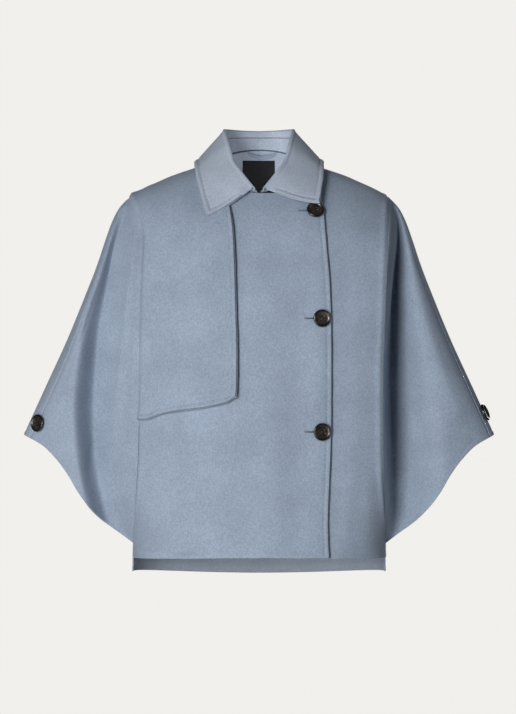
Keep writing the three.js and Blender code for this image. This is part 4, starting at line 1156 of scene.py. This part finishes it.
# The fall's outer face is the paler inner wool, partly painted light on the bright leaf.
piece = wall("collar_fall_cloth", fall, "top", CLOTH + (turned_in(near_edge, 1.6) - CLOTH) * on_leaf,
             outward=-1, facing=set_by_seam, material=INNER_WOOL_PARTLY_PAINTED_LIGHT, inner=WOOL)
finish_cloth(piece, "collar_fall")
level, level_off = line_at(fall.transpose(1, 0, 2), to_edge.T, STITCH_IN)
shown = to_end[-1] > STITCH_IN
pick_stitches("collar_edge_stitches", level[shown], level_off[shown])
lower_half = to_edge[:, 0] < END_STITCHES
for name, to_side in (("right", to_right), ("left", to_left)):
    ended, ended_off = line_at(fall, to_side, STITCH_IN)
    shown = lower_half & (to_edge[:, 0] > STITCH_IN)
    pick_stitches(f"collar_{name}_end_stitches", ended[shown], ended_off[shown], -1)

# %% [markdown]
# ## Label and hanger loop
#
# The label is a plain square of black satin, sewn to the inside of the back at its corners, and it
# carries nothing. Satin is smooth because its long threads lie side by side on the face, so it has a
# soft streak of light across them. The hanger loop is a narrow bridge of the coat's own cloth.

# %% Satin
SATIN_THREAD_MM = 0.35
SLUB_MM = 4


def woven_satin(name, colour, glint):
    """Fine threads side by side: a wave across the label, bumped, with a low anisotropic gloss. A wave
    texture makes a band every 2 pi of its scaled place, so the scale is 1 over pitch and 2 pi."""
    made, tree, place = new_material(name)
    threads = node(tree, "TexWave", {"Vector": place, "Scale": 1 / (SATIN_THREAD_MM * MM * 6.28),
                                     "Distortion": 0.6, "Detail": 1.0}, bands_direction="Z")
    slub = node(tree, "TexNoise", {"Vector": place, "Scale": 1 / (SLUB_MM * MM), "Detail": 2.0})
    ramp = node(tree, "ValToRGB", {"Fac": slub.outputs["Fac"]})
    for stop, shown in zip(ramp.color_ramp.elements, (colour, glint)):
        stop.color = linear(shown)
    bump = node(tree, "Bump", {"Height": threads.outputs["Fac"], "Strength": 0.25, "Distance": 0.1 * MM})
    shader = node(tree, "BsdfPrincipled", {
        "Base Color": ramp.outputs[0], "Normal": bump.outputs[0], "Roughness": 0.6, "IOR": 1.5,
        "Anisotropic": 0.5, "Specular IOR Level": 0.12,
    })
    node(tree, "OutputMaterial", {"Surface": shader.outputs[0]})
    return made


SATIN = woven_satin("black_polyester_satin", "#1F1E22", "#2A292E")
print("material:", SATIN.name)

# %% Label and loop pieces
LABEL = {"from": -27, "to": 26, "top": 36, "bottom": -22, "clear": 0.9, "belly": 0.9, "thick": 0.7}
LOOP = {"from": -19, "to": 29, "up": 50.5, "sag": 5.5, "wide": 5, "clear": 1, "off": 3.2, "curl": 0.6,
        "thick": 1.4}
TRIM_LINE = (0.6,)

across = steps(53, 1.8, TRIM_LINE, TRIM_LINE)[None]
down = steps(55, 1.8, TRIM_LINE, TRIM_LINE)[:, None]
x, z = lerp(LABEL["from"], LABEL["to"], across), lerp(LABEL["top"], LABEL["bottom"], down)
lift = -(CLOTH + LABEL["clear"]) - LABEL["belly"] * np.sin(np.pi * across) * np.sin(np.pi * down)
label = raised(body_point("back", x, z), lift, -1)
piece = wall("label_satin", label, thick=LABEL["thick"], material=SATIN, inner=SATIN)
finish_cloth(piece, "label")

across = steps(48, 1.2, TRIM_LINE, TRIM_LINE)[None]
down = steps(5, 0.8)[:, None]
sag = LOOP["sag"] * np.sin(np.pi * across) ** 0.8
x, z = lerp(LOOP["from"], LOOP["to"], across), LOOP["up"] - sag - LOOP["wide"] * down
stand_off = LOOP["off"] * np.sin(np.pi * across) ** 0.6 - LOOP["curl"] * np.cos(np.pi * (down - 0.5))
loop = raised(body_point("back", x, z), -(CLOTH + LOOP["clear"]) - stand_off, -1)
piece = wall("hanger_loop_cloth", loop, thick=LOOP["thick"], inner=WOOL)
finish_cloth(piece, "hanger_loop")

# %% [markdown]
# ## Buttons
#
# Each button is a 28 mm disc of polished horn, or a resin cast to look like it: nearly black, with
# brown clouds in the dished centre, a raised rim, and four holes sewn with dark thread. A profile
# turned about an axis gives the disc, and the holes are sunk into its face.

# %% Horn and thread
HORN_CLOUD_MM = 7
HORN_GRAIN_MM = 1.5


def polished_horn(name):
    """Distorted noise gives dull brown clouds in the dished centre, which a point attribute marks, and
    the rim stays black. A clear polish lies over both."""
    made, tree, place = new_material(name)
    clouds = node(tree, "TexNoise", {"Vector": place, "Scale": 1 / (HORN_CLOUD_MM * MM), "Detail": 4.0,
                                     "Distortion": 1.4})
    ramp = node(tree, "ValToRGB", {"Fac": clouds.outputs["Fac"]})
    for stop, position, colour in zip(ramp.color_ramp.elements, (0.4, 0.75), ("#14110F", "#4A3E35")):
        stop.position, stop.color = position, linear(colour)
    centre = node(tree, "Attribute", attribute_name="centre").outputs["Fac"]
    horn = node(tree, "Mix", {"Factor": centre}, data_type="RGBA")
    horn.inputs["A"].default_value = linear("#0B0A0A")
    tree.links.new(ramp.outputs[0], horn.inputs["B"])
    grain = node(tree, "TexNoise", {"Vector": place, "Scale": 1 / (HORN_GRAIN_MM * MM), "Detail": 2.0})
    bump = node(tree, "Bump", {"Height": grain.outputs["Fac"], "Strength": 0.02, "Distance": 0.1 * MM})
    shader = node(tree, "BsdfPrincipled", {
        "Base Color": horn.outputs["Result"], "Normal": bump.outputs[0], "Roughness": 0.28, "IOR": 1.54,
        "Coat Weight": 0.4, "Coat Roughness": 0.1,
    })
    node(tree, "OutputMaterial", {"Surface": shader.outputs[0]})
    return made


HORN = polished_horn("polished_dark_horn")
DARK_THREAD = brushed_wool("dark_sewing_thread", "#15161A", "#1C1E24", "#2A2D35", 0.05)
print("materials:", HORN.name, DARK_THREAD.name)

# %% Button shape
DISH_RADIUS = 10.6
HOLE_OFF = 2.3
HOLE_RADIUS = 0.95
BUTTON_SIDES = 72
PEG_SIDES = 16
PEG_UP = (2.3, 7)
BUTTON_PROFILE = table(
    "out up", (0, 0.35), (2.2, 0.35), (2.2, 1.45), (12.4, 1.5), (13.3, 1.75), (13.85, 2.4), (14, 3.3),
    (13.9, 4.3), (13.5, 5.05), (12.9, 5.5), (12.2, 5.65), (11.6, 5.5), (11.1, 5.05), (10.7, 4.6),
    (10.1, 4.3), (8, 4.0), (5.5, 3.85), (0, 3.8))


def turned_disc(profile, sides):
    """Points and faces of a profile turned about Z, each ring cos and sin of even turns times its
    radius. The profile's two ends are single points on the axis."""
    angle = np.linspace(0, 2 * np.pi, sides, endpoint=False)
    out, up = profile["out"][1:-1, None], profile["up"][1:-1, None]
    rings = np.stack([out * np.cos(angle), out * np.sin(angle), up + 0 * angle], -1)
    poles = np.array([[0, 0, profile["up"][0]], [0, 0, profile["up"][-1]]])
    count = len(rings)
    place = np.arange(count * sides).reshape(count, sides)
    after = np.roll(place, -1, axis=1)
    body = np.stack([place[:-1], after[:-1], after[1:], place[1:]], -1).reshape(-1, 4)
    low, high = count * sides, count * sides + 1
    ends = [[low, b, a] for a, b in zip(place[0], after[0])]
    ends += [[high, a, b] for a, b in zip(place[-1], after[-1])]
    return np.concatenate([rings.reshape(-1, 3), poles]), body.tolist() + ends


def axes_at(normal, spin):
    """Three directions at a point of the cloth: to the right, upwards in it, and off it, the first two
    turned by a spin."""
    right = unit(np.cross((0.0, 0, 1), normal))
    c, s = np.cos(spin), np.sin(spin)
    turn = np.array([[c, s, 0], [-s, c, 0], [0, 0, 1]])
    return turn @ np.stack([right, np.cross(normal, right), normal])


def drill(piece):
    """Cuts the four thread holes, each a slim peg taken away from the disc."""
    angle = np.linspace(0, 2 * np.pi, PEG_SIDES, endpoint=False)
    circle = np.stack([HOLE_RADIUS * np.cos(angle), HOLE_RADIUS * np.sin(angle)], -1)
    low = np.arange(PEG_SIDES)
    high = low + PEG_SIDES
    walls = np.stack([low, np.roll(low, -1), np.roll(high, -1), high], -1).tolist()
    peg_faces = [low[::-1].tolist(), high.tolist()] + walls
    four = [(np.concatenate([np.insert(circle + np.array(corner) * HOLE_OFF, 2, up, 1) for up in PEG_UP]),
             peg_faces) for corner in ((1, 1), (-1, 1), (-1, -1), (1, -1))]
    pegs = to_object("pegs", *gather(four), HORN)
    cut = piece.modifiers.new("holes", "BOOLEAN")
    cut.object = pegs
    cut.solver = "EXACT"
    shown = piece.evaluated_get(bpy.context.evaluated_depsgraph_get())
    piece.data = bpy.data.meshes.new_from_object(shown)
    piece.modifiers.clear()
    bpy.data.objects.remove(pegs)


print("button across, mm:", 2 * BUTTON_PROFILE["out"].max())

# %% [markdown]
# ## Buttons in their places
#
# The buttons sit where the solids have them. A front button's place is a point of the right front,
# and a sleeve button's is a point of the overarm's quarter turn, in degrees from its ridge. The
# sewing thread makes two bars between the holes, and is a piece of its own.

# %% Buttons in place
FRONT_BUTTONS = {"top": (88.5, -53), "middle": (98.3, -222.7), "lower": (98.5, -400.5)}
SLEEVE_BUTTONS = {"right": (-1, 0.93, 54), "left": (1, 0.905, 76)}
SLEEVE_BUTTON_LIFT = 0.25
QUARTER_TURN = 90
BARS = {"beside": 0.35, "up": 4.35, "bow": 1.7, "middle_up": 0.1, "reach": 1.06, "radius": 0.24}
DISH_FADE = 0.6


def surface_facing(surface, a, b, step, outward):
    """Where a surface faces, from a short step each way along both its parameters."""
    over = surface(a + step, b) - surface(a - step, b)
    along = surface(a, b + step) - surface(a, b - step)
    return unit(np.cross(over, along)) * outward


def matrix_of(place, axes):
    """A Blender matrix that turns to those axes and moves to the place, in metres."""
    matrix = Matrix.Identity(4)
    for row in range(3):
        for column in range(3):
            matrix[row][column] = axes[column][row]
        matrix[row][3] = place[row] * MM
    return matrix


def button(name, place, normal, spin):
    """A button and its thread, turned to the cloth at its place. The thread makes two bars of three
    strands, each nearly straight and bent down at its ends: the sixth power of its place."""
    axes = axes_at(normal, spin)
    points, faces = turned_disc(BUTTON_PROFILE, BUTTON_SIDES)
    disc = to_object(name + "_horn", points, faces, HORN)
    drill(disc)
    place_on_disc = np.empty(len(disc.data.vertices) * 3)
    disc.data.vertices.foreach_get("co", place_on_disc)
    from_axis = np.hypot(*place_on_disc.reshape(-1, 3)[:, :2].T) / MM
    in_dish = np.clip((DISH_RADIUS - from_axis) / DISH_FADE, 0, 1).astype(np.float32)
    disc.data.attributes.new("centre", "FLOAT", "POINT").data.foreach_set("value", in_dish)
    disc.data.transform(matrix_of(place, axes))
    bars = []
    arc = np.linspace(-1, 1, 9)
    for y in (-HOLE_OFF, HOLE_OFF):
        for shift in (-1, 0, 1):
            bow = BARS["up"] - BARS["bow"] * arc ** 6 + BARS["middle_up"] * (shift == 0)
            path = [arc * HOLE_OFF * BARS["reach"], y + shift * BARS["beside"] + 0 * arc, bow]
            bars.append(tube(np.stack(path, -1), BARS["radius"], 6))
    points, faces = gather(bars)
    thread = to_object(name + "_thread", points @ axes + place, faces, DARK_THREAD)
    for piece in (disc, thread):
        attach(piece, "root")
    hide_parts(name)
    print(name, "at", np.round(place, 1))


for name, (out, up) in FRONT_BUTTONS.items():
    place = body_point("front", out, up)
    normal = surface_facing(lambda a, b: body_point("front", a, b), out, up, 1.0, 1)
    button("button_front_" + name, place, normal, spin=0.3)
for name, (side, at, turn) in SLEEVE_BUTTONS.items():
    def arm(a, b, side=side):
        return sleeve_point("front", side, b, "over", a)
    turn = turn / QUARTER_TURN
    normal = surface_facing(arm, turn, at, 0.01, -side)
    place = arm(turn, at) + normal * SLEEVE_BUTTON_LIFT
    button("button_sleeve_" + name, place, normal, spin=0.2)

# %% [markdown]
# ## Buttonholes
#
# Beside each front button lies the end of its hole: a cut in the cloth whose two lips are sewn over
# with thread, close to each other at the far end and spread where the button's thread comes through.
# The cut itself is not cut out: it is a thin lens of painted shade, wool coloured nearly black where the
# cut would be in shadow, a little above the cloth and below the lips. It could be cut out of the front,
# but a hole 2 mm wide would need a much finer grid there.

# %% Buttonholes
HOLE = {"from": -26.5, "to": -3, "stations": 14, "spread": 0.75, "lip": 0.6, "bar": 0.3, "bar_lean": 0.15,
        "end_high": 1.9, "end_ahead": 0.3, "cut_ahead": 0.12, "cut_wider": 0.3, "cut_deep": 0.6}
# Painted shade: nearly black wool for the inside of a buttonhole's cut, which would get almost no light.
PAINTED_SHADE_WOOL = brushed_wool("painted_shade_inside_a_buttonhole", "#14171C", "#191D23", "#20252C", 0.0)


def on_front(x, z):
    """The point of the right front's outer face at x and z: each row is read at x, then between rows."""
    depth, up = ([np.interp(x, row[:, 0], row[:, i]) for row in right_front] for i in (1, 2))
    return np.array([x, np.interp(z, up[::-1], depth[::-1]), z])


def lens(middle, half):
    """Points and faces of a flat closed lens along a line, as wide on each side as half says. Its
    points are four rows: upper and lower in front, then the same behind."""
    n = len(middle)
    wide = np.stack([0 * half, 0 * half, half], -1)
    front = np.concatenate([middle + wide, middle - wide])
    faces = [[a, a + n, a + n + 1, a + 1] for a in range(n - 1)]
    for corners in ((2 * n, 2 * n + 1, 3 * n + 1, 3 * n), (0, 1, 2 * n + 1, 2 * n),
                    (n, 3 * n, 3 * n + 1, n + 1)):
        faces += [[a + corner for corner in corners] for a in range(n - 1)]
    ends = [[0, 2 * n, 3 * n, n], [n - 1, 2 * n - 1, 4 * n - 1, 3 * n - 1]]
    return np.concatenate([front, front + (0, HOLE["cut_deep"], 0)]), faces + ends


def buttonhole(name, x, z):
    """A cut in the front beside its button. Two lips of thread spread from their meeting end as the
    square root of the way along, stitches bar them, and a lens of painted shade lies between them."""
    run = np.linspace(0, 1, HOLE["stations"])
    spread, lip_radius = HOLE["spread"] * np.sqrt(run), HOLE["lip"]
    middle = np.array([on_front(a, z) for a in x + lerp(HOLE["from"], HOLE["to"], run)])
    parts = []
    for side in (-1, 1):
        lip = middle + np.stack([0 * run, 0 * run - lip_radius * 0.5, side * (spread + lip_radius)], -1)
        parts.append(tube(lip, lip_radius, 6))
        bar = np.array([(-HOLE["bar_lean"], 0, -lip_radius), (0, -lip_radius, 0),
                        (HOLE["bar_lean"], 0, lip_radius)])
        parts += [tube(place + bar, HOLE["bar"], 5) for place in lip[1:-1]]
    end = np.outer((-1, 0, 1), (0, 0, HOLE["end_high"])) - (HOLE["end_ahead"], lip_radius, 0)
    parts.append(tube(middle[0] + end, lip_radius, 6))
    # The lens between the lips is coloured with painted shade.
    cut = lens(middle - (0, HOLE["cut_ahead"], 0), spread + HOLE["cut_wider"])
    for ending, (points, faces), material in (("_thread", gather(parts), THREAD),
                                              ("_cut_painted_shade", cut, PAINTED_SHADE_WOOL)):
        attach(to_object(name + ending, points, faces, material), "root")
    print(name, "at", middle[-1].round(1))


for name, (out, up) in FRONT_BUTTONS.items():
    buttonhole("buttonhole_" + name, out, up)

# %% Finish
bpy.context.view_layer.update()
triangles = sum(len(o.data.polygons) * 2 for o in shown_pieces() if o.type == "MESH")
print("triangles, about:", triangles)
